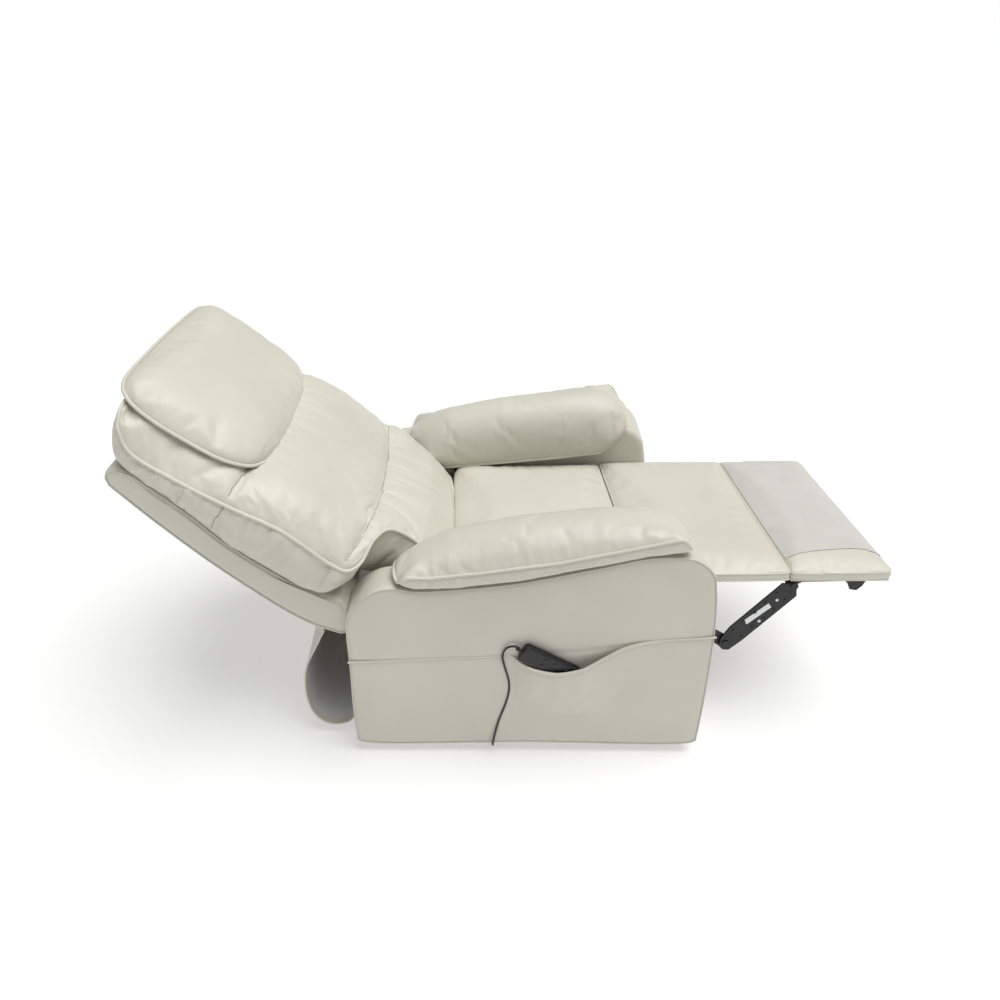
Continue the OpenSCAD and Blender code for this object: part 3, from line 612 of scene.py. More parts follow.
lumbar_seam = across_back(0.172, 0.27, 0.365)
upper_seam = across_back(0.492, 0.10, 0.370)
hold = np.where(part["rim"] | part["back"], 1.0, 0.0)
for line in (lumbar_seam, upper_seam):
    d, _ = near_line(back_cushion, line)
    hold = np.maximum(hold, np.where(d < 0.007, 0.9, 0))
stuff(back_cushion, hold, pressure=4.0, spare=0.035, cap=0.016)
subdivide(back_cushion)
for line in (lumbar_seam, upper_seam):
    crease(back_cushion, line, width=0.0032, depth=0.0050)
walls_down = [on_back(np.full(40, sign * 0.386), np.linspace(0.503, 0.497, 40), np.linspace(-0.028, -0.104, 40))
              for sign in (-1, 1)]
for line in walls_down:
    crease(back_cushion, line, width=0.004, depth=0.003)
gathers(back_cushion, np.vstack([rim_line, rim_line[:1]]), depth=0.0048, reach=0.05, pitch=0.026, seed=2.0)
gathers(back_cushion, lumbar_seam, depth=0.0020, reach=0.06, pitch=0.03, seed=4.0)
for line, seed in ((lumbar_seam[:22], 6.0), (lumbar_seam[-22:], 7.0)):
    gathers(back_cushion, line, depth=0.0028, reach=0.05, pitch=0.030, seed=seed)
wall_line = back_loops[4]
wall_line = wall_line[(wall_line[:, 1] > 0.12) & (wall_line[:, 1] < 0.76) & (np.abs(wall_line[:, 0]) > 0.3)]
for sign in (-1, 1):
    gathers(back_cushion, on_back(*wall_line[wall_line[:, 0] * sign > 0].T), depth=0.0080, reach=0.035,
            pitch=0.036, seed=14.0 + sign)
# Fine dark tubes along the four seams paint the shade in their grooves.
for name, line in (("lumbar_seam", lumbar_seam), ("upper_seam", upper_seam), ("wall_seam_right", walls_down[0]),
                   ("wall_seam_left", walls_down[1])):
    seam_shade_line(name, back_cushion, line, "back", "cream_cushion")
dress(back_cushion, LEATHER, "back", "cream_cushion", "back_cushion")
piping("back_piping", on_back(*grown(back_rim, 0.002).T), "back", "cream_cushion")
print("back cushion", len(back_cushion.data.polygons), "faces")

# %% [markdown]
# ## The back's rear shell
# Behind the cushion is a padded shell with flat sides and a rounded rear. It could be a bevelled box,
# but its outline bends, so the same form is laid on a side outline and its walls run across the chair.

# %% Back shell
SHELL_W = 0.362
front_side = [(-0.090, 0.700, 0), (-0.100, 0.56, 0), (-0.116, 0.44, 0), (-0.114, 0.25, 0), (-0.095, 0.150, 0)]
low_side = [(-0.095, 0.150, 0), (-0.118, 0.108, 0), (-0.160, 0.090, 0), (-0.176, 0.098, 0)]
rear_side = [(-0.176, 0.098, 0), (-0.198, 0.185, 0), (-0.195, 0.40, 0), (-0.173, 0.60, 0), (-0.152, 0.728, 0)]
high_side = [(-0.152, 0.728, 0), (-0.136, 0.747, 0), (-0.110, 0.746, 0), (-0.090, 0.700, 0)]
shell_rim = four_sides(front_side, low_side, rear_side, high_side)
shell_rings = [(-0.010, SHELL_W), (-0.003, SHELL_W - 0.002), (0, SHELL_W - 0.008)]
shell_rings += [(0, y) for y in np.linspace(SHELL_W - 0.03, -SHELL_W + 0.03, 30)]
shell_rings += [(0, -SHELL_W + 0.008), (-0.003, -SHELL_W + 0.002), (-0.010, -SHELL_W)]
sign = 1.0 if np.linalg.norm(grown(shell_rim, 0.01)[:, 0].max() - shell_rim[:, 0].max()) > 0 and \
    grown(shell_rim, 0.01)[:, 0].max() > shell_rim[:, 0].max() else -1.0
shell_loops = []
for inset, y in shell_rings:
    loop = grown(shell_rim, sign * inset)
    loop[:, 2] = y
    shell_loops.append(loop)
back_shell, part = lay_form("back_shell_leather", panel_form(30, 60, len(shell_rings) - 1), shell_loops, (-0.145, 0.42),
                            lambda n, s: 0 * n + SHELL_W + 0.004, lambda n, s: 0 * n - SHELL_W - 0.004,
                            lambda n, s, y: on_back(y, s, n), firm=5)
subdivide(back_shell)
dress(back_shell, LEATHER, "back", "cream_leather", "back_shell")
for s_y, label in ((-1, "right"), (1, "left")):
    edge = grown(shell_rim, -sign * 0.006)
    edge_line = on_back(s_y * np.full(len(edge), SHELL_W + 0.0005), edge[:, 1], edge[:, 0])
    piping("shell_seam_" + label, edge_line, "back", "cream_leather", radius=0.0016)

# %% [markdown]
# ## The headrest
# The headrest is a loose pillow that is sewn to the top of the back and lies over it. It has no side
# walls: its two panels meet in one piped rim. The rim floats above the back near its ends, which gives
# the soft shadow below it.

# %% Headrest pillow
HEAD_W = 0.325
head_side = [(0.23, 0.470, 0.040), (0.285, 0.500, 0.036), (0.318, 0.56, 0.032), (HEAD_W, 0.65, 0.028),
             (0.326, 0.73, 0.028), (0.318, 0.785, 0.032), (0.300, 0.812, 0.036)]
head_top = [(0.300, 0.812, 0.036), (0.27, 0.824, 0.038), (0.1, 0.832, 0.040), (-0.1, 0.832, 0.040),
            (-0.27, 0.824, 0.038), (-0.300, 0.812, 0.036)]
head_low = [(-0.23, 0.470, 0.040), (-0.16, 0.457, 0.044), (0, 0.450, 0.046), (0.16, 0.457, 0.044), (0.23, 0.470, 0.040)]
head_rim = four_sides(head_side, head_top, [(-y, s, n) for y, s, n in head_side[::-1]], head_low)
headrest, part = lay_form("headrest_leather", panel_form(76, 48, 1), [head_rim, grown(head_rim, -0.002) - [0, 0, 0.002]],
                          (0, 0.65), lambda y, s: 0.093 + 0 * y,
                          lambda y, s: np.maximum(back_crown(y, s) - 0.012 * (y / 0.3) ** 2 + 0.004, 0.022) + 0.008, on_back, firm=3.0)
hold = np.where(part["rim"] | part["back"], 1.0, 0.0)
stuff(headrest, hold, pressure=2.5, spare=0.015, cap=0.008)
subdivide(headrest)
head_line = on_back(*head_rim.T)
gathers(headrest, np.vstack([head_line, head_line[:1]]), depth=0.0024, reach=0.05, pitch=0.034, seed=12.0)
dress(headrest, LEATHER, "headrest", "cream_cushion", "headrest_pillow")
piping("headrest_piping", on_back(*grown(head_rim, 0.002).T), "headrest", "cream_cushion")

# %% [markdown]
# ### The headrest's hinge
# A strap of leather joins the headrest to the back's top seam. It is the hinge that the pillow flips on.

# %% Headrest strap
STRAP_HALF = 0.27
strap_side = smooth_line(np.array([(0.784, 0.014), (0.795, 0.022), (0.806, 0.029), (0.815, 0.035), (0.824, 0.037)]), 4)
bm = bmesh.new()
bmesh.ops.create_grid(bm, x_segments=60, y_segments=len(strap_side) - 1, size=1)
for v in bm.verts:
    s, n = strap_side[int(round((v.co.y + 1) / 2 * (len(strap_side) - 1)))]
    v.co = Vector(on_back(np.array(v.co.x * STRAP_HALF), s, n))
bmesh.ops.recalc_face_normals(bm, faces=bm.faces[:])
if sum(f.normal.z for f in bm.faces) < 0:
    bmesh.ops.reverse_faces(bm, faces=bm.faces[:])
strap = bpy.data.objects.new("headrest_strap", bpy.data.meshes.new("headrest_strap"))
bm.to_mesh(strap.data)
bm.free()
scene.collection.objects.link(strap)
strap.data.shade_smooth()
dress(strap, LEATHER, "back", "cream_leather")
strap.parent = None
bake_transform(strap)

# %% [markdown]
# ## Arms
# Each arm is a plywood box under a leather cover. The cover's outer face is a flat panel with a slight
# crown, its top band drops towards the seat, and a welt runs across the face. The wall rings of the
# form run from the outer face to the inner one.

# %% Arm covers
ARM_OUT, ARM_IN = 0.4085, 0.2795
arm_front = [(0.410, 0.040), (0.415, 0.15), (0.417, 0.347), (0.411, 0.455), (0.402, 0.517)]
arm_top = [(0.402, 0.517), (0.386, 0.541), (0.350, 0.565), (0.302, 0.570), (0.252, 0.568), (0.148, 0.544),
           (-0.024, 0.506), (-0.177, 0.488), (-0.256, 0.485), (-0.301, 0.4925), (-0.341, 0.486), (-0.374, 0.464), (-0.405, 0.425)]
arm_rear = [(-0.405, 0.425), (-0.415, 0.40), (-0.416, 0.25), (-0.416, 0.12), (-0.412, 0.040)]
arm_low = [(-0.412, 0.040), (-0.400, 0.031), (0, 0.031), (0.398, 0.031), (0.410, 0.040)]
arm_rim = four_sides(*[[(*p, ARM_OUT) for p in part_of] for part_of in (arm_front, arm_top, arm_rear, arm_low)])


def arm_surface(side):
    def place(x, z, y):
        inward = np.clip((ARM_OUT - y) / (ARM_OUT - ARM_IN), 0, 1)
        drop = 0.029 * inward * np.clip((z - 0.36) / 0.13, 0, 1)
        return np.stack([x, side * y, z - drop], axis=-1)
    return place


arm_rings = [(-0.007, ARM_OUT), (-0.002, ARM_OUT - 0.0015), (0, ARM_OUT - 0.007)]
arm_rings += [(0, y) for y in np.linspace(ARM_OUT - 0.018, ARM_IN + 0.018, 9)]
arm_rings += [(0, ARM_IN + 0.010), (-0.004, ARM_IN + 0.002), (-0.014, ARM_IN)]
WELT = [(-0.417, 0.284), (-0.249, 0.293), (-0.065, 0.302), (0.0, 0.307), (0.139, 0.319), (0.250, 0.341), (0.418, 0.355)]
welt_flat = smooth_line([(x, 0, z) for x, z in WELT], 16)


def face_height(x, z):
    """The outer face is nearly flat: its padding lifts it a few millimetres off the rim."""
    return ARM_OUT + 0.0045 + 0 * x


arms = {}
for side, label in ((-1, "right"), (1, "left")):
    loops = []
    for inset, y in arm_rings:
        loop = grown(arm_rim, inset)
        loop[:, 2] = y
        loops.append(loop)
    arm, part = lay_form("arm_leather_" + label, panel_form(100, 64, len(arm_rings) - 1), loops, (0, 0.28),
                         face_height, lambda x, z: 0 * x + ARM_IN, arm_surface(side), firm=6)
    subdivide(arm)
    rim_at = arm_surface(side)(*grown(arm_rim, -0.004).T)
    welt = welt_flat + [0, side * (ARM_OUT + 0.0035), 0]
    crease(arm, welt, width=0.004, depth=0.0022)
    gathers(arm, np.vstack([rim_at, rim_at[:1]]), depth=0.0011, reach=0.05, pitch=0.05, seed=20.0 + side)
    dress(arm, LEATHER, "chassis", "cream_leather", "arm_cover_" + label)
    piping("arm_edge_seam_" + label, arm_surface(side)(*grown(arm_rim, -0.0035).T), "chassis", "cream_leather", radius=0.0014)
    arms[label] = arm


piping("arm_welt_left", welt_flat + [0, ARM_OUT + 0.0030, 0], "chassis", "cream_leather", closed=False, radius=0.0022)
for name, keep in (("arm_welt_right_rear", welt_flat[:, 0] < -0.055), ("arm_welt_right_front", welt_flat[:, 0] > 0.262)):
    piping(name, welt_flat[keep] + [0, -ARM_OUT - 0.0030, 0], "chassis", "cream_leather", closed=False, radius=0.0022)

# %% [markdown]
# ## Arm pillows
# A pillow lies along each arm and hangs over its inner edge. Its upper panel is a long arc from the
# outer seam over the arm to the inner seam, and its lower panel follows the arm below it. Both panels
# are described by a section that changes along the arm, and they close on each other at the ends.

# %% Arm pillows
PILLOW_X = (-0.290, 0.337)


def pillow_sections(x):
    """Upper and lower section lines, (y, z) from the outer seam to the inner seam, at one place."""
    outer = np.interp(x, [-0.291, -0.22, -0.11, 0.06, 0.226, 0.308, 0.34], [0.530, 0.527, 0.540, 0.565, 0.602, 0.621, 0.622])
    crest = np.interp(x, [-0.29, -0.245, -0.176, -0.019, 0.156, 0.244, 0.301, 0.337], [0.525, 0.545, 0.577, 0.610, 0.630, 0.634, 0.626, 0.610])
    inner = np.interp(x, [-0.29, -0.225, -0.03, 0.148, 0.323, 0.34], [0.425, 0.430, 0.446, 0.462, 0.484, 0.486])
    arm = np.interp(x, [-0.301, -0.256, -0.177, -0.024, 0.148, 0.252, 0.302, 0.350], [0.492, 0.484, 0.489, 0.508, 0.546, 0.570, 0.573, 0.568])
    y_in = 0.248
    upper = [(0.422, outer), (0.408, outer + 0.4 * (crest - outer) + 0.012), (0.372, crest - 0.006), (0.330, crest),
             (0.286, crest - 0.016), (0.250, crest - 0.055), (0.236, (crest + inner) / 2 - 0.018), (y_in - 0.006, inner + 0.022), (y_in, inner)]
    lower = [(0.422, outer), (0.427, (outer + arm) / 2 + 0.004), (0.414, arm + 0.006), (0.385, arm + 0.002), (0.33, arm - 0.010),
             (0.288, arm - 0.020), (0.277, arm - 0.045), (0.274, (arm + inner) / 2 - 0.02), (0.270, inner + 0.010), (y_in, inner)]
    return [even_steps(smooth_line(np.array(line), 10), 61) for line in (upper, lower)]


def pillow_point(u, v, lower):
    middle_x, half_x = (PILLOW_X[0] + PILLOW_X[1]) / 2, (PILLOW_X[1] - PILLOW_X[0]) / 2
    inner_cut = 0.075 * max(0.0, v) ** 2.6 * (1 if u > 0 else 0.55)
    outer_cut = 0.022 * max(0.0, -v) ** 3
    x = middle_x + (half_x - (inner_cut + outer_cut)) * u
    top_line, low_line = pillow_sections(x)
    at = (v + 1) / 2 * 60
    i, k = min(int(at), 59), at - min(int(at), 59)
    a = top_line[i] * (1 - k) + top_line[i + 1] * k
    b = low_line[i] * (1 - k) + low_line[i + 1] * k
    middle = 0.3 * a + 0.7 * b
    full = max(0.0, 1 - abs(u) ** 9) ** 0.5
    y, z = middle + full * ((b if lower else a) - middle)
    bow = 0.016 * (1 - v * v) * np.sign(u) * abs(u) ** 6
    return x + bow, y, z


def arm_pillow(side, label):
    bm = panel_form(78, 42, 1)
    me = bpy.data.meshes.new("arm_pillow_leather_" + label)
    bm.to_mesh(me)
    bm.free()
    form = positions(me)
    rows = []
    for u, v, k in form:
        x, y, z = pillow_point(u, v, k < -0.5)
        rows.append((x, side * y, z - (0.001 if k < -0.5 else 0)))
    me.vertices.foreach_set("co", np.array(rows).ravel())
    bm = bmesh.new()
    bm.from_mesh(me)
    bmesh.ops.recalc_face_normals(bm, faces=bm.faces[:])
    bm.to_mesh(me)
    bm.free()
    pillow = bpy.data.objects.new(me.name, me)
    scene.collection.objects.link(pillow)
    r, t = rim_place(form[:, 0], form[:, 1])
    lower = form[:, 2] < -0.5
    hold = np.where(r > 1 - 1e-6, 1.0, 0.0)
    hold = np.maximum(hold, np.where(lower & (form[:, 1] > -0.72), 1.0, 0))
    stuff(pillow, hold, pressure=3.5, spare=0.016, cap=0.009)
    subdivide(pillow)
    edge = [(u, -1) for u in np.linspace(-1, 1, 90)[:-1]] + [(1, v) for v in np.linspace(-1, 1, 50)[:-1]]
    edge += [(u, 1) for u in np.linspace(1, -1, 90)[:-1]] + [(-1, v) for v in np.linspace(1, -1, 50)[:-1]]
    line = np.array([pillow_point(u, v, False) for u, v in edge]) * [1, side, 1]
    gathers(pillow, np.vstack([line, line[:1]]), depth=0.0030, reach=0.035, pitch=0.024, seed=30.0 + 3 * side)
    dress(pillow, LEATHER, "chassis", "cream_cushion", "arm_pillow_" + label)
    piping("arm_pillow_piping_" + label, line, "chassis", "cream_cushion", radius=0.0036)


for side, label in ((-1, "right"), (1, "left")):
    arm_pillow(side, label)

# %% [markdown]
# ## Seat, chaise pad and ottoman
# These three cushions lie in a row. Each is a panel over a shallow wall. The panels roll down at
# their rims, so that a soft valley shows where two cushions meet.

# %% Seat cushion
def flat_place(x, y, z):
    return np.stack([x, y, z], axis=-1)


def box_cushion(name, x0, x1, half, corners, rim_z, foot_z, crown_z, firm, cells, walls=5, belly=0.003):
    r0, r1 = corners
    front = [(x1, -half + r1, 0), (x1, 0, 0), (x1, half - r1, 0)]
    far = [(x1, half - r1, 0), (x1 - 0.3 * r1, half - 0.3 * r1, 0), (x1 - r1, half, 0), (x0 + r0, half, 0),
           (x0 + 0.3 * r0, half - 0.3 * r0, 0), (x0, half - r0, 0)]
    rear = [(x0, half - r0, 0), (x0, 0, 0), (x0, -half + r0, 0)]
    near = [(x, -y, z) for x, y, z in far[::-1]]
    rim = four_sides(front, far, rear, near)
    loops = []
    for i in range(walls + 1):
        share = i / walls
        loop = grown(rim, belly * math.sin(math.pi * share))
        loop[:, 2] = rim_z(loop[:, 0], loop[:, 1]) * (1 - share) + foot_z * share
        loops.append(loop)
    made, part = lay_form(name, panel_form(*cells, walls), loops, ((x0 + x1) / 2, 0), crown_z,
                          lambda x, y: foot_z + 0 * x, flat_place, firm=firm)
    return made, part, loops


SEAT_X = (-0.166, 0.268)
SEAT_HALF = 0.272
seat, part, loops = box_cushion(
    "seat_leather", *SEAT_X, SEAT_HALF, (0.035, 0.02), lambda x, y: np.where(x > 0.26, 0.424, 0.420) + 0 * x,
    0.3855, lambda x, y: 0.447 + 0.004 * np.cos(1.6 * y / SEAT_HALF) + 0 * x, 3.6, (70, 80))
stuff(seat, np.where(part["rim"] | part["back"] | part["wall"], 1.0, 0.0), pressure=2.5, spare=0.012, cap=0.006)
subdivide(seat)
seat_rim = np.vstack([loops[0], loops[0][:1]])
gathers(seat, seat_rim, depth=0.0012, reach=0.03, pitch=0.04, seed=40.0)
dress(seat, LEATHER, "chassis", "cream_cushion", "seat_cushion")

# %% Chaise pad
CHAISE_X = (0.2725, 0.6245)
FOOT_HALF = 0.2725
chaise, part, loops = box_cushion(
    "chaise_leather", *CHAISE_X, FOOT_HALF, (0.012, 0.006), lambda x, y: np.where(x < 0.3, 0.424, 0.426),
    0.4045, lambda x, y: 0.4455 - 0.003 * np.clip((x - 0.3) / 0.3, 0, 1), 4.4, (58, 90))
stuff(chaise, np.where(part["rim"] | part["back"] | part["wall"], 1.0, 0.0), pressure=2.5, spare=0.012, cap=0.005)
subdivide(chaise)
chaise_rim = np.vstack([loops[0], loops[0][:1]])
gathers(chaise, chaise_rim, depth=0.0010, reach=0.03, pitch=0.045, seed=50.0)
dress(chaise, LEATHER, "chassis", "cream_cushion", "chaise_pad")
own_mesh(chaise)
low_line = loops[4].copy()
for name, line, size in (("chaise_upper_seam", loops[0], 0.0020), ("chaise_lower_seam", low_line, 0.0022)):
    made = piping(name, line, "chassis", "cream_cushion", radius=size)
    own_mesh(made)

# %% Ottoman pad
OTTOMAN_X = (0.6275, 0.862)
ottoman, part, loops = box_cushion(
    "ottoman_leather", *OTTOMAN_X, FOOT_HALF, (0.006, 0.012), lambda x, y: 0.425 + 0.002 * (x > 0.7) + 0 * x,
    0.4100, lambda x, y: 0.4455 + 0 * x, 3.0, (46, 90))
stuff(ottoman, np.where(part["rim"] | part["back"] | part["wall"], 1.0, 0.0), pressure=2.5, spare=0.012, cap=0.005)
subdivide(ottoman)
ottoman_rim = np.vstack([loops[0], loops[0][:1]])
gathers(ottoman, ottoman_rim, depth=0.0012, reach=0.03, pitch=0.04, seed=60.0)
dress(ottoman, LEATHER, "ottoman", "cream_cushion", "ottoman_pad")
piping("ottoman_piping", loops[0], "ottoman", "cream_cushion", radius=0.0016)

# %% Ottoman wrap
board_low, board_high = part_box("ottoman_board")
bm = bmesh.new()
bmesh.ops.create_cube(bm, size=1)
bmesh.ops.scale(bm, vec=(OTTOMAN_X[1] - 0.632, 2 * FOOT_HALF - 0.006, board_high.z - board_low.z + 0.002), verts=bm.verts[:])
bmesh.ops.translate(bm, vec=((OTTOMAN_X[1] + 0.629) / 2 - 0.0005, 0, (board_low.z + board_high.z) / 2 + 0.0008), verts=bm.verts[:])
bmesh.ops.bevel(bm, geom=bm.edges[:], offset=0.003, segments=3, affect="EDGES", profile=0.5)
wrap = bpy.data.objects.new("ottoman_wrap", bpy.data.meshes.new("ottoman_wrap"))
bm.to_mesh(wrap.data)
bm.free()
scene.collection.objects.link(wrap)
wrap.data.shade_smooth()
dress(wrap, LEATHER, "ottoman", "cream_leather", "ottoman_board")

# %% [markdown]
# ## The pocket
# The pocket is a panel of the same leather on the arm's outer face. Its lip sags open where the handset
# stands in it and closes against the arm at its front end. The panel is a grid: its height off the arm
# is one smooth bulge, and its folds run down from the sagging lip.

# %% Pocket panel
POCKET_X = (-0.070, 0.300)
POCKET_LOW = 0.100
LIP = [(-0.070, 0.310), (-0.062, 0.310), (-0.046, 0.305), (-0.021, 0.294), (0.013, 0.282), (0.063, 0.275), (0.115, 0.285),
       (0.159, 0.303), (0.208, 0.327), (0.254, 0.3405), (0.300, 0.345)]
lip_flat = smooth_line(np.array(LIP), 16)
FOLDS = [((0.178, 0.246), (0.112, 0.142), 0.0022), ((0.109, 0.222), (0.166, 0.205), 0.0016), ((0.075, 0.250), (0.06, 0.17), 0.0013),
         ((0.030, 0.262), (-0.005, 0.18), 0.0012), ((0.215, 0.285), (0.185, 0.225), 0.0012)]


def off_arm(x, z):
    """How far the pocket's leather stands off the arm's face."""
    lip = np.interp(x, lip_flat[:, 0], lip_flat[:, 1])
    wide = np.interp(x, [POCKET_X[0], -0.037, -0.02, 0.005, 0.06, 0.12, 0.17, 0.22, POCKET_X[1]],
                     [-0.003, -0.0005, 0.010, 0.0225, 0.0280, 0.0275, 0.014, 0.005, -0.001])
    up = np.clip((z - POCKET_LOW) / np.maximum(lip - POCKET_LOW, 1e-6), 0, 1)
    lift = -0.0035 + (wide + 0.0035) * np.sin(up * math.pi / 2) ** 1.3
    for (x0, z0), (x1, z1), deep in FOLDS:
        along = np.clip(((x - x0) * (x1 - x0) + (z - z0) * (z1 - z0)) / ((x1 - x0) ** 2 + (z1 - z0) ** 2), 0, 1)
        d = np.hypot(x - x0 - along * (x1 - x0), z - z0 - along * (z1 - z0))
        lift = lift + 1.5 * deep * np.sin(math.pi * np.clip(along, 0.06, 0.94)) * np.exp(-(d / 0.011) ** 2)
    return lift


bm = bmesh.new()
bmesh.ops.create_grid(bm, x_segments=96, y_segments=60, size=1)
for v in bm.verts:
    x = POCKET_X[0] + (v.co.x + 1) / 2 * (POCKET_X[1] - POCKET_X[0])
    lip = float(np.interp(x, lip_flat[:, 0], lip_flat[:, 1]))
    z = POCKET_LOW + (v.co.y + 1) / 2 * (lip - POCKET_LOW)
    v.co = (x, -(ARM_OUT + 0.0035 + float(off_arm(x, z))), z)
pocket = bpy.data.objects.new("pocket", bpy.data.meshes.new("pocket"))
bmesh.ops.recalc_face_normals(bm, faces=bm.faces[:])
if sum(f.normal.y for f in bm.faces) > 0:
    bmesh.ops.reverse_faces(bm, faces=bm.faces[:])
bm.to_mesh(pocket.data)
bm.free()
scene.collection.objects.link(pocket)
thick = pocket.modifiers.new("thickness", "SOLIDIFY")
thick.thickness = 0.0016
thick.offset = -1
bake_modifiers(pocket)
pocket.data.shade_smooth()
dress(pocket, LEATHER, "chassis", "cream_leather", "side_pocket")
lip_line = np.stack([lip_flat[:, 0], -(ARM_OUT + 0.0030 + off_arm(lip_flat[:, 0], lip_flat[:, 1])), lip_flat[:, 1]], axis=1)
piping("pocket_lip", lip_line, "chassis", "cream_leather", closed=False, radius=0.0034)

# %% Pocket stitches
STITCH, GAP = 0.0032, 0.0050
below_lip = lip_flat - [0, 0.0105]
stitch_path = np.stack([below_lip[:, 0], -(ARM_OUT + 0.0037 + off_arm(below_lip[:, 0], below_lip[:, 1])), below_lip[:, 1]], axis=1)
bm = bmesh.new()
count = int(line_length(stitch_path) / GAP)
spots = even_steps(stitch_path, count)
for here, there in zip(spots[:-1], spots[1:]):
    turn = Vector(there - here).to_track_quat("Z", "Y").to_matrix().to_4x4()
    made = bmesh.ops.create_uvsphere(bm, u_segments=8, v_segments=5, radius=1)["verts"]
    bmesh.ops.scale(bm, vec=(0.0006, 0.0006, STITCH / 2), verts=made)
    bmesh.ops.transform(bm, matrix=Matrix.Translation((here + there) / 2) @ turn, verts=made)
stitches = bpy.data.objects.new("pocket_stitches", bpy.data.meshes.new("pocket_stitches"))
bm.to_mesh(stitches.data)
bm.free()
scene.collection.objects.link(stitches)
stitches.data.shade_smooth()
dress(stitches, PIPING, "chassis", "cream_leather")
print(count, "stitches")

# %% [markdown]
# ## The handset
# The handset's real shell is a flat box with soft edges. The CAD case is a plate with sharp rims, so a
# rounded box takes its place: the corners of its outline are rounded, and then both rims, while its two faces stay
# flat.

# %% Handset
HANDSET_AT, HANDSET_TURN = (-0.012, -0.424, 0.338), math.radians(30)
HANDSET_L, HANDSET_Z, HANDSET_T = 0.148, (-0.034, 0.012), 0.018
bm = bmesh.new()
bmesh.ops.create_cube(bm, size=1)
bmesh.ops.scale(bm, vec=(HANDSET_L, HANDSET_T, HANDSET_Z[1] - HANDSET_Z[0]), verts=bm.verts[:])
bmesh.ops.translate(bm, vec=(HANDSET_L / 2, 0, sum(HANDSET_Z) / 2), verts=bm.verts[:])
corners = [e for e in bm.edges if abs(e.verts[0].co.y - e.verts[1].co.y) > 0.01]
bmesh.ops.bevel(bm, geom=corners, offset=0.011, segments=8, affect="EDGES", profile=0.5)
rims = [e for e in bm.edges if len(e.link_faces) == 2 and e.calc_face_angle() > 1.2]
bmesh.ops.bevel(bm, geom=rims, offset=0.0045, segments=5, affect="EDGES", profile=0.5)
bmesh.ops.transform(bm, matrix=Matrix.Translation(HANDSET_AT) @ Matrix.Rotation(HANDSET_TURN, 4, "Y"), verts=bm.verts[:])
handset = bpy.data.objects.new("handset", bpy.data.meshes.new("handset"))
bm.to_mesh(handset.data)
bm.free()
scene.collection.objects.link(handset)
handset.data.shade_smooth()
HANDSET_PLASTIC = new_material("handset_plastic", (0.007, 0.0075, 0.008), 0.42)
spark = texture(HANDSET_PLASTIC, "Noise", 900.0, Detail=2.0)
height(HANDSET_PLASTIC, spark.outputs["Fac"], 0.00012, 0.35)
smear = texture(HANDSET_PLASTIC, "Noise", 14.0, Detail=2.0)
vary_roughness(HANDSET_PLASTIC, smear.outputs["Fac"], 0.34, 0.5)
dress(handset, HANDSET_PLASTIC, "chassis", "handset_plastic", "handset_case")

# %% [markdown]
# ## The overlay on the ottoman
# A loose cloth protects the ottoman where shoes rest. It is cut as a plain rectangle, lies flat on the
# leather, and its front end turns down over the ottoman's edge. Each point is dropped onto the ottoman
# with a ray, so the cloth follows the padding below it.

# %% Overlay cloth
OVERLAY_LIFT = 0.0014
OVERLAY_ROWS, OVERLAY_STEPS = 60, 46
near_edge = lambda x: np.interp(x, [0.630, 0.705, 0.779, 0.854], [-0.226, -0.211, -0.204, -0.207])
far_edge = lambda x: np.interp(x, [0.630, 0.714, 0.828, 0.862], [0.243, 0.258, 0.252, 0.250])
graph = bpy.context.evaluated_depsgraph_get()
ottoman_tree = BVHTree.FromObject(ottoman, graph)
drop = [(x, None) for x in np.linspace(0.632, 0.8585, 34)] + [(0.8655, z) for z in np.linspace(0.430, 0.412, 6)]
bm = bmesh.new()
rows = []
for x, z in drop:
    row = []
    for k in np.linspace(0, 1, OVERLAY_ROWS):
        y = float(near_edge(x) * (1 - k) + far_edge(x) * k)
        if z is None:
            hit = ottoman_tree.ray_cast(Vector((x, y, 0.6)), Vector((0, 0, -1)))[0]
            at = Vector((x, y, hit.z + OVERLAY_LIFT))
        else:
            hit = ottoman_tree.ray_cast(Vector((1.1, y, z)), Vector((-1, 0, 0)))[0]
            at = Vector(((hit.x if hit else 0.861) + OVERLAY_LIFT + 0.0022, y, z))
        row.append(bm.verts.new(at))
    rows.append(row)
for upper, lower in zip(rows[:-1], rows[1:]):
    for i in range(OVERLAY_ROWS - 1):
        bm.faces.new((upper[i], lower[i], lower[i + 1], upper[i + 1]))
bmesh.ops.recalc_face_normals(bm, faces=bm.faces[:])
if sum(f.normal.z for f in bm.faces) < 0:
    bmesh.ops.reverse_faces(bm, faces=bm.faces[:])
overlay = bpy.data.objects.new("overlay_cloth", bpy.data.meshes.new("overlay_cloth"))
bm.to_mesh(overlay.data)
bm.free()
scene.collection.objects.link(overlay)
overlay.data.shade_smooth()
OVERLAY = new_material("overlay_cloth", (0.70, 0.70, 0.68), 0.8, Sheen_Weight=0.15)
warp = texture(OVERLAY, "Wave", 500.0, Distortion=0.6)
weft = texture(OVERLAY, "Wave", 500.0, Distortion=0.6)
weft.bands_direction = "Y"
height(OVERLAY, warp.outputs["Fac"], 0.0002, 0.4)
height(OVERLAY, weft.outputs["Fac"], 0.0002, 0.4)
drift = texture(OVERLAY, "Noise", 9.0, Detail=3.0)
tint(OVERLAY, drift.outputs["Fac"], (0.575, 0.565, 0.525), (0.615, 0.605, 0.565))
dress(overlay, OVERLAY, "ottoman", None)

# %% [markdown]
# ## Black cloth in the gaps
# Behind and beside the seat a black non-woven cloth closes the view into the frame. These strips lie
# just below the cushions' rims and ride on the chassis.

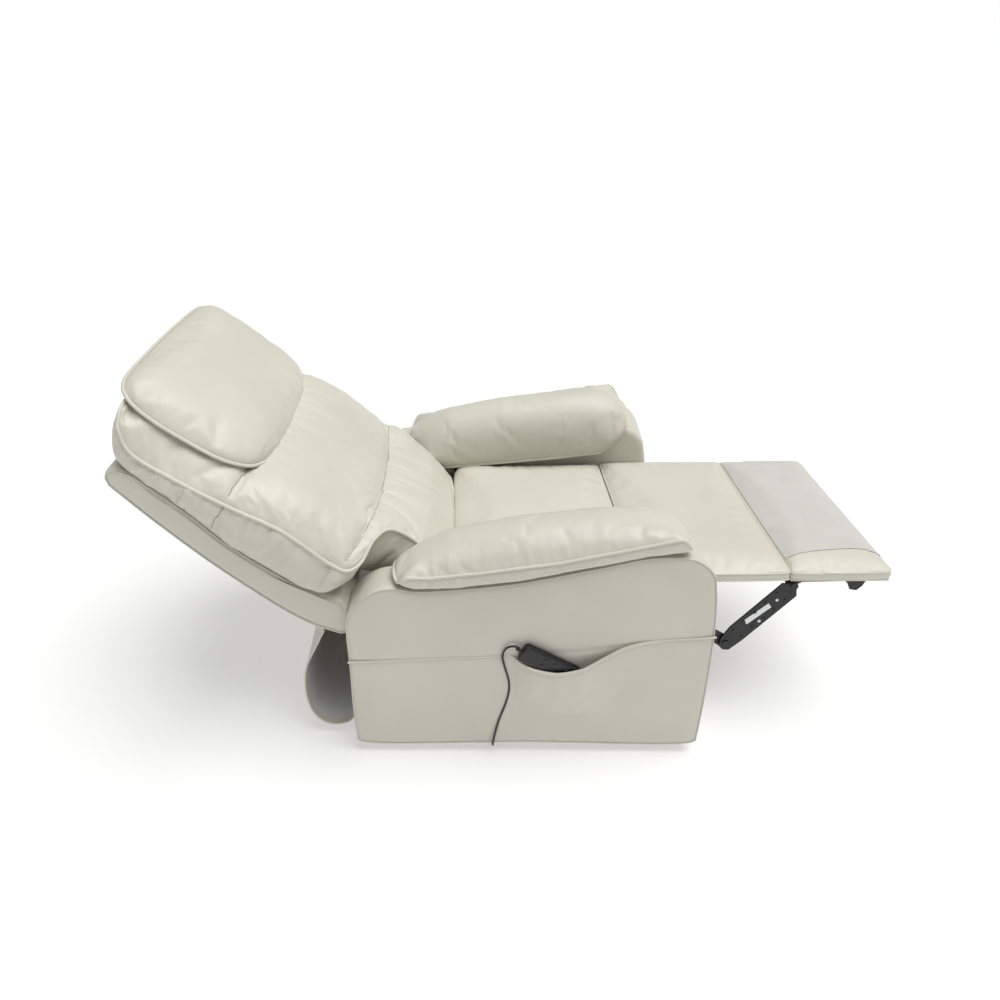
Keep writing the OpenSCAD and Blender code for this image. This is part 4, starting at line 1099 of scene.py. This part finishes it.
# %% Gap cloth
def strip(name, low, high, material, body, slot_name):
    bm = bmesh.new()
    bmesh.ops.create_cube(bm, size=1)
    bmesh.ops.scale(bm, vec=[b - a for a, b in zip(low, high)], verts=bm.verts[:])
    bmesh.ops.translate(bm, vec=[(a + b) / 2 for a, b in zip(low, high)], verts=bm.verts[:])
    bmesh.ops.bevel(bm, geom=bm.edges[:], offset=0.0008, segments=2, affect="EDGES", profile=0.5)
    made = bpy.data.objects.new(name, bpy.data.meshes.new(name))
    bm.to_mesh(made.data)
    bm.free()
    scene.collection.objects.link(made)
    dress(made, material, body, slot_name)
    return made


BLACK_CLOTH = new_material("black_cloth", (0.022, 0.022, 0.024), 0.9, Sheen_Weight=0.2)
fibres = texture(BLACK_CLOTH, "Noise", 700.0, stretch=(1, 0.25, 1), Detail=4.0)
height(BLACK_CLOTH, fibres.outputs["Fac"], 0.0004, 0.6)
pressed = texture(BLACK_CLOTH, "Voronoi", 320.0)
tint(BLACK_CLOTH, pressed.outputs["Distance"], (0.016, 0.016, 0.017), (0.034, 0.034, 0.036))
strip("gap_cloth_rear", (-0.205, -0.262, 0.402), (-0.168, 0.262, 0.4045), BLACK_CLOTH, "chassis", "black_cloth")
for side, label in ((-1, "right"), (1, "left")):
    ys = sorted((side * 0.2735, side * 0.2785))
    strip("gap_cloth_" + label, (-0.168, ys[0], 0.400), (0.262, ys[1], 0.412), BLACK_CLOTH, "chassis", "black_cloth")

# %% [markdown]
# ## The rear skirt
# A sheet of leather hangs in a loop from the back down to the frame, so that nothing can be caught behind
# the chair when it reclines. Its lining is pale, and its hem is turned over the lining.

# %% Skirt
SKIRT = [(-0.478, 0.326), (-0.505, 0.27), (-0.53, 0.215), (-0.538, 0.165), (-0.536, 0.11), (-0.524, 0.066),
         (-0.50, 0.038), (-0.468, 0.030), (-0.436, 0.040), (-0.422, 0.056)]
SKIRT_HALF = 0.350
HEM = 0.016
skirt_line = even_steps(smooth_line(np.array(SKIRT), 12), 70)
run = np.gradient(skirt_line, axis=0)
run /= np.linalg.norm(run, axis=1)[:, None]
skirt_out = np.stack([run[:, 1], -run[:, 0]], axis=1)


def skirt_sheet(name, depth, y_from, y_to, columns, material, slot_name, ripple=0.0022):
    """A strip of the skirt from y_from to y_to, moved outwards from the skirt's line by depth."""
    bm = bmesh.new()
    rows = []
    for i, (x, z) in enumerate(skirt_line):
        share = i / (len(skirt_line) - 1)
        row = []
        for y in np.linspace(y_from, y_to, columns):
            wave = ripple * math.sin(math.pi * share) * noise.noise(Vector((7 * y, 1.5 * share, 3)))
            d = depth + wave
            row.append(bm.verts.new((x + d * skirt_out[i, 0], y, z + d * skirt_out[i, 1])))
        rows.append(row)
    for upper, lower in zip(rows[:-1], rows[1:]):
        for i in range(columns - 1):
            bm.faces.new((upper[i], upper[i + 1], lower[i + 1], lower[i]))
    bmesh.ops.recalc_face_normals(bm, faces=bm.faces[:])
    made = bpy.data.objects.new(name, bpy.data.meshes.new(name))
    bm.to_mesh(made.data)
    bm.free()
    scene.collection.objects.link(made)
    made.data.shade_smooth()
    dress(made, material, "chassis", slot_name)
    return made


LINING = new_material("skirt_lining", (0.66, 0.67, 0.68), 0.85)
weave = texture(LINING, "Wave", 420.0, Distortion=1.0)
height(LINING, weave.outputs["Fac"], 0.0002, 0.4)
soil = texture(LINING, "Noise", 6.0, Detail=3.0)
tint(LINING, soil.outputs["Fac"], (0.62, 0.63, 0.64), (0.69, 0.70, 0.71))
outer_sign = 1 if skirt_out[30, 0] < 0 else -1
skirt = skirt_sheet("skirt_leather", 0.0012 * outer_sign, -SKIRT_HALF, SKIRT_HALF, 90, LEATHER, "cream_leather")
lining = skirt_sheet("skirt_lining", -0.0002 * outer_sign, -SKIRT_HALF, SKIRT_HALF, 90, LINING, None)
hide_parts("rear_skirt")
hems = [skirt_sheet("skirt_hem_" + label, -0.0014 * outer_sign, *sorted((side * (SKIRT_HALF - HEM), side * SKIRT_HALF)), 6,
                    LEATHER, "cream_leather") for side, label in ((-1, "right"), (1, "left"))]
edges = []
for side, label in ((-1, "right"), (1, "left")):
    at = np.stack([skirt_line[:, 0], np.full(len(skirt_line), side * SKIRT_HALF), skirt_line[:, 1]], axis=1)
    edges.append(piping("skirt_edge_" + label, at, "chassis", "cream_leather", closed=False, radius=0.0021))
for piece in [skirt, lining] + hems + edges:
    piece.parent = None
    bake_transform(piece)

# %% [markdown]
# ## Stickers and rivets on the front links
# A blank white sticker and a few bright rivet heads sit on each front link's outer face. They are placed
# in the link's own directions: along it from the knee pivot to the ottoman's hinge, and across it.

# %% Link details
KNEE, HINGE = Vector((0.500, 0, 0.216)), Vector((0.640, 0, 0.388))
LINK_FACE = 0.272
link_along = (HINGE - KNEE).normalized()
link_across = Vector((-link_along.z, 0, link_along.x))


def on_link(along, across, side, out=0.0):
    at = KNEE + link_along * along * MM + link_across * across * MM
    return Vector((at.x, side * (LINK_FACE + out), at.z))


RIVET = new_material("rivet_zinc", (0.62, 0.62, 0.61), 0.34, Metallic=1.0)
scuff = texture(RIVET, "Noise", 500.0, Detail=3.0)
vary_roughness(RIVET, scuff.outputs["Fac"], 0.26, 0.46)
PAPER = new_material("sticker_paper", (0.84, 0.85, 0.86), 0.5)
fibre = texture(PAPER, "Noise", 260.0, Detail=4.0)
height(PAPER, fibre.outputs["Fac"], 0.00008, 0.4)
tint(PAPER, fibre.outputs["Fac"], (0.81, 0.82, 0.83), (0.87, 0.88, 0.88))
RIVETS = [(168.7, 0.9), (98.7, -12.6)]
STICKER = [(76.0, 17.5), (73.5, 3.5), (146.0, -4.0), (149.5, 9.5)]
for side, label in ((-1, "right"), (1, "left")):
    bm = bmesh.new()
    lower = [bm.verts.new(on_link(a, c, side, 0.0001)) for a, c in STICKER]
    upper = [bm.verts.new(on_link(a, c, side, 0.0005)) for a, c in STICKER]
    bm.faces.new(upper)
    bm.faces.new(lower[::-1])
    for i in range(4):
        bm.faces.new((lower[i], lower[(i + 1) % 4], upper[(i + 1) % 4], upper[i]))
    bmesh.ops.recalc_face_normals(bm, faces=bm.faces[:])
    sticker = bpy.data.objects.new("sticker_" + label, bpy.data.meshes.new("sticker_" + label))
    bm.to_mesh(sticker.data)
    bm.free()
    scene.collection.objects.link(sticker)
    dress(sticker, PAPER, "footrest_front", None)
    bm = bmesh.new()
    for along, across in RIVETS:
        made = bmesh.ops.create_uvsphere(bm, u_segments=20, v_segments=12, radius=1)["verts"]
        bmesh.ops.scale(bm, vec=(0.0042, 0.0016, 0.0042), verts=made)
        bmesh.ops.translate(bm, vec=on_link(along, across, side), verts=made)
    rivets = bpy.data.objects.new("rivets_" + label, bpy.data.meshes.new("rivets_" + label))
    bm.to_mesh(rivets.data)
    bm.free()
    scene.collection.objects.link(rivets)
    rivets.data.shade_smooth()
    dress(rivets, RIVET, "footrest_front", "zinc_steel")

# %% [markdown]
# ## Finishes for the mechanism
# The steel, wood, plastic and rubber parts keep the CAD shapes. Each gets the finish of its material slot:
# powder coat has a fine orange peel, zinc shows patches of crystals, and plywood shows grain and plies.

# %% CAD finishes
def powder_coat(name, colour):
    mat = new_material(name, colour, 0.46)
    peel = texture(mat, "Noise", 520.0, Detail=2.0)
    height(mat, peel.outputs["Fac"], 0.0002, 0.35)
    dust = texture(mat, "Noise", 11.0, Detail=4.0)
    vary_roughness(mat, dust.outputs["Fac"], 0.38, 0.58)
    tint(mat, dust.outputs["Fac"], shade_of(colour, 0.85), shade_of(colour, 1.25))
    return mat


def moulded(name, colour, roughness=0.5):
    mat = new_material(name, colour, roughness)
    spark = texture(mat, "Noise", 800.0, Detail=2.0)
    height(mat, spark.outputs["Fac"], 0.00015, 0.4)
    drift = texture(mat, "Noise", 16.0, Detail=3.0)
    vary_roughness(mat, drift.outputs["Fac"], roughness - 0.07, roughness + 0.09)
    return mat


def bare_metal(name, colour, roughness, scale):
    mat = new_material(name, colour, roughness, Metallic=1.0)
    crystal = texture(mat, "Voronoi", scale)
    tint(mat, crystal.outputs["Distance"], shade_of(colour, 0.86), shade_of(colour, 1.08), 0.1, 0.8)
    scratch = texture(mat, "Noise", 60.0, stretch=(1, 8, 1), Detail=5.0)
    vary_roughness(mat, scratch.outputs["Fac"], roughness - 0.1, roughness + 0.14)
    return mat


PLY = new_material("frame_wood", (0.55, 0.40, 0.24), 0.62)
grain = texture(PLY, "Noise", 26.0, stretch=(0.6, 3, 8), Detail=6.0, Roughness=0.6)
tint(PLY, grain.outputs["Fac"], (0.44, 0.30, 0.17), (0.62, 0.47, 0.30))
plies = texture(PLY, "Wave", 110.0, Distortion=1.2)
plies.bands_direction = "Z"
height(PLY, plies.outputs["Fac"], 0.0002, 0.3)
height(PLY, grain.outputs["Fac"], 0.0004, 0.4)
BOARD = moulded("circuit_board", (0.03, 0.16, 0.07), 0.4)
tracks = texture(BOARD, "Brick", 180.0)
height(BOARD, tracks.outputs["Fac"], 0.0001, 0.5)
FINISHES = {
    "cream_leather": LEATHER, "cream_cushion": LEATHER, "frame_wood": PLY, "black_cloth": BLACK_CLOTH,
    "base_steel": powder_coat("base_steel", (0.011, 0.0115, 0.013)), "link_steel": powder_coat("link_steel", (0.009, 0.0095, 0.011)),
    "zinc_steel": bare_metal("zinc_steel", (0.60, 0.60, 0.58), 0.36, 130.0),
    "spring_steel": bare_metal("spring_steel", (0.34, 0.34, 0.35), 0.42, 300.0),
    "weight_brass": bare_metal("weight_brass", (0.66, 0.50, 0.24), 0.36, 240.0),
    "rubber_feet": moulded("rubber_feet", (0.022, 0.022, 0.022), 0.75),
    "cord_rubber": moulded("cord_rubber", (0.018, 0.018, 0.019), 0.48),
    "actuator_plastic": moulded("actuator_plastic", (0.035, 0.036, 0.038), 0.5),
    "handset_plastic": HANDSET_PLASTIC, "circuit_board": BOARD, "button_grey": moulded("button_grey", (0.016, 0.0165, 0.018), 0.5)}
slot_of = {s["node"] if "node" in s else s["name"]: s.get("material_slot") for s in frame["record"]["subparts"]}
for name, node in frame["nodes"].items():
    node.data.materials.clear()
    node.data.materials.append(FINISHES[slot_of[name]])
cord.data.materials.append(FINISHES["cord_rubber"])
print(len(frame["nodes"]), "CAD pieces finished")
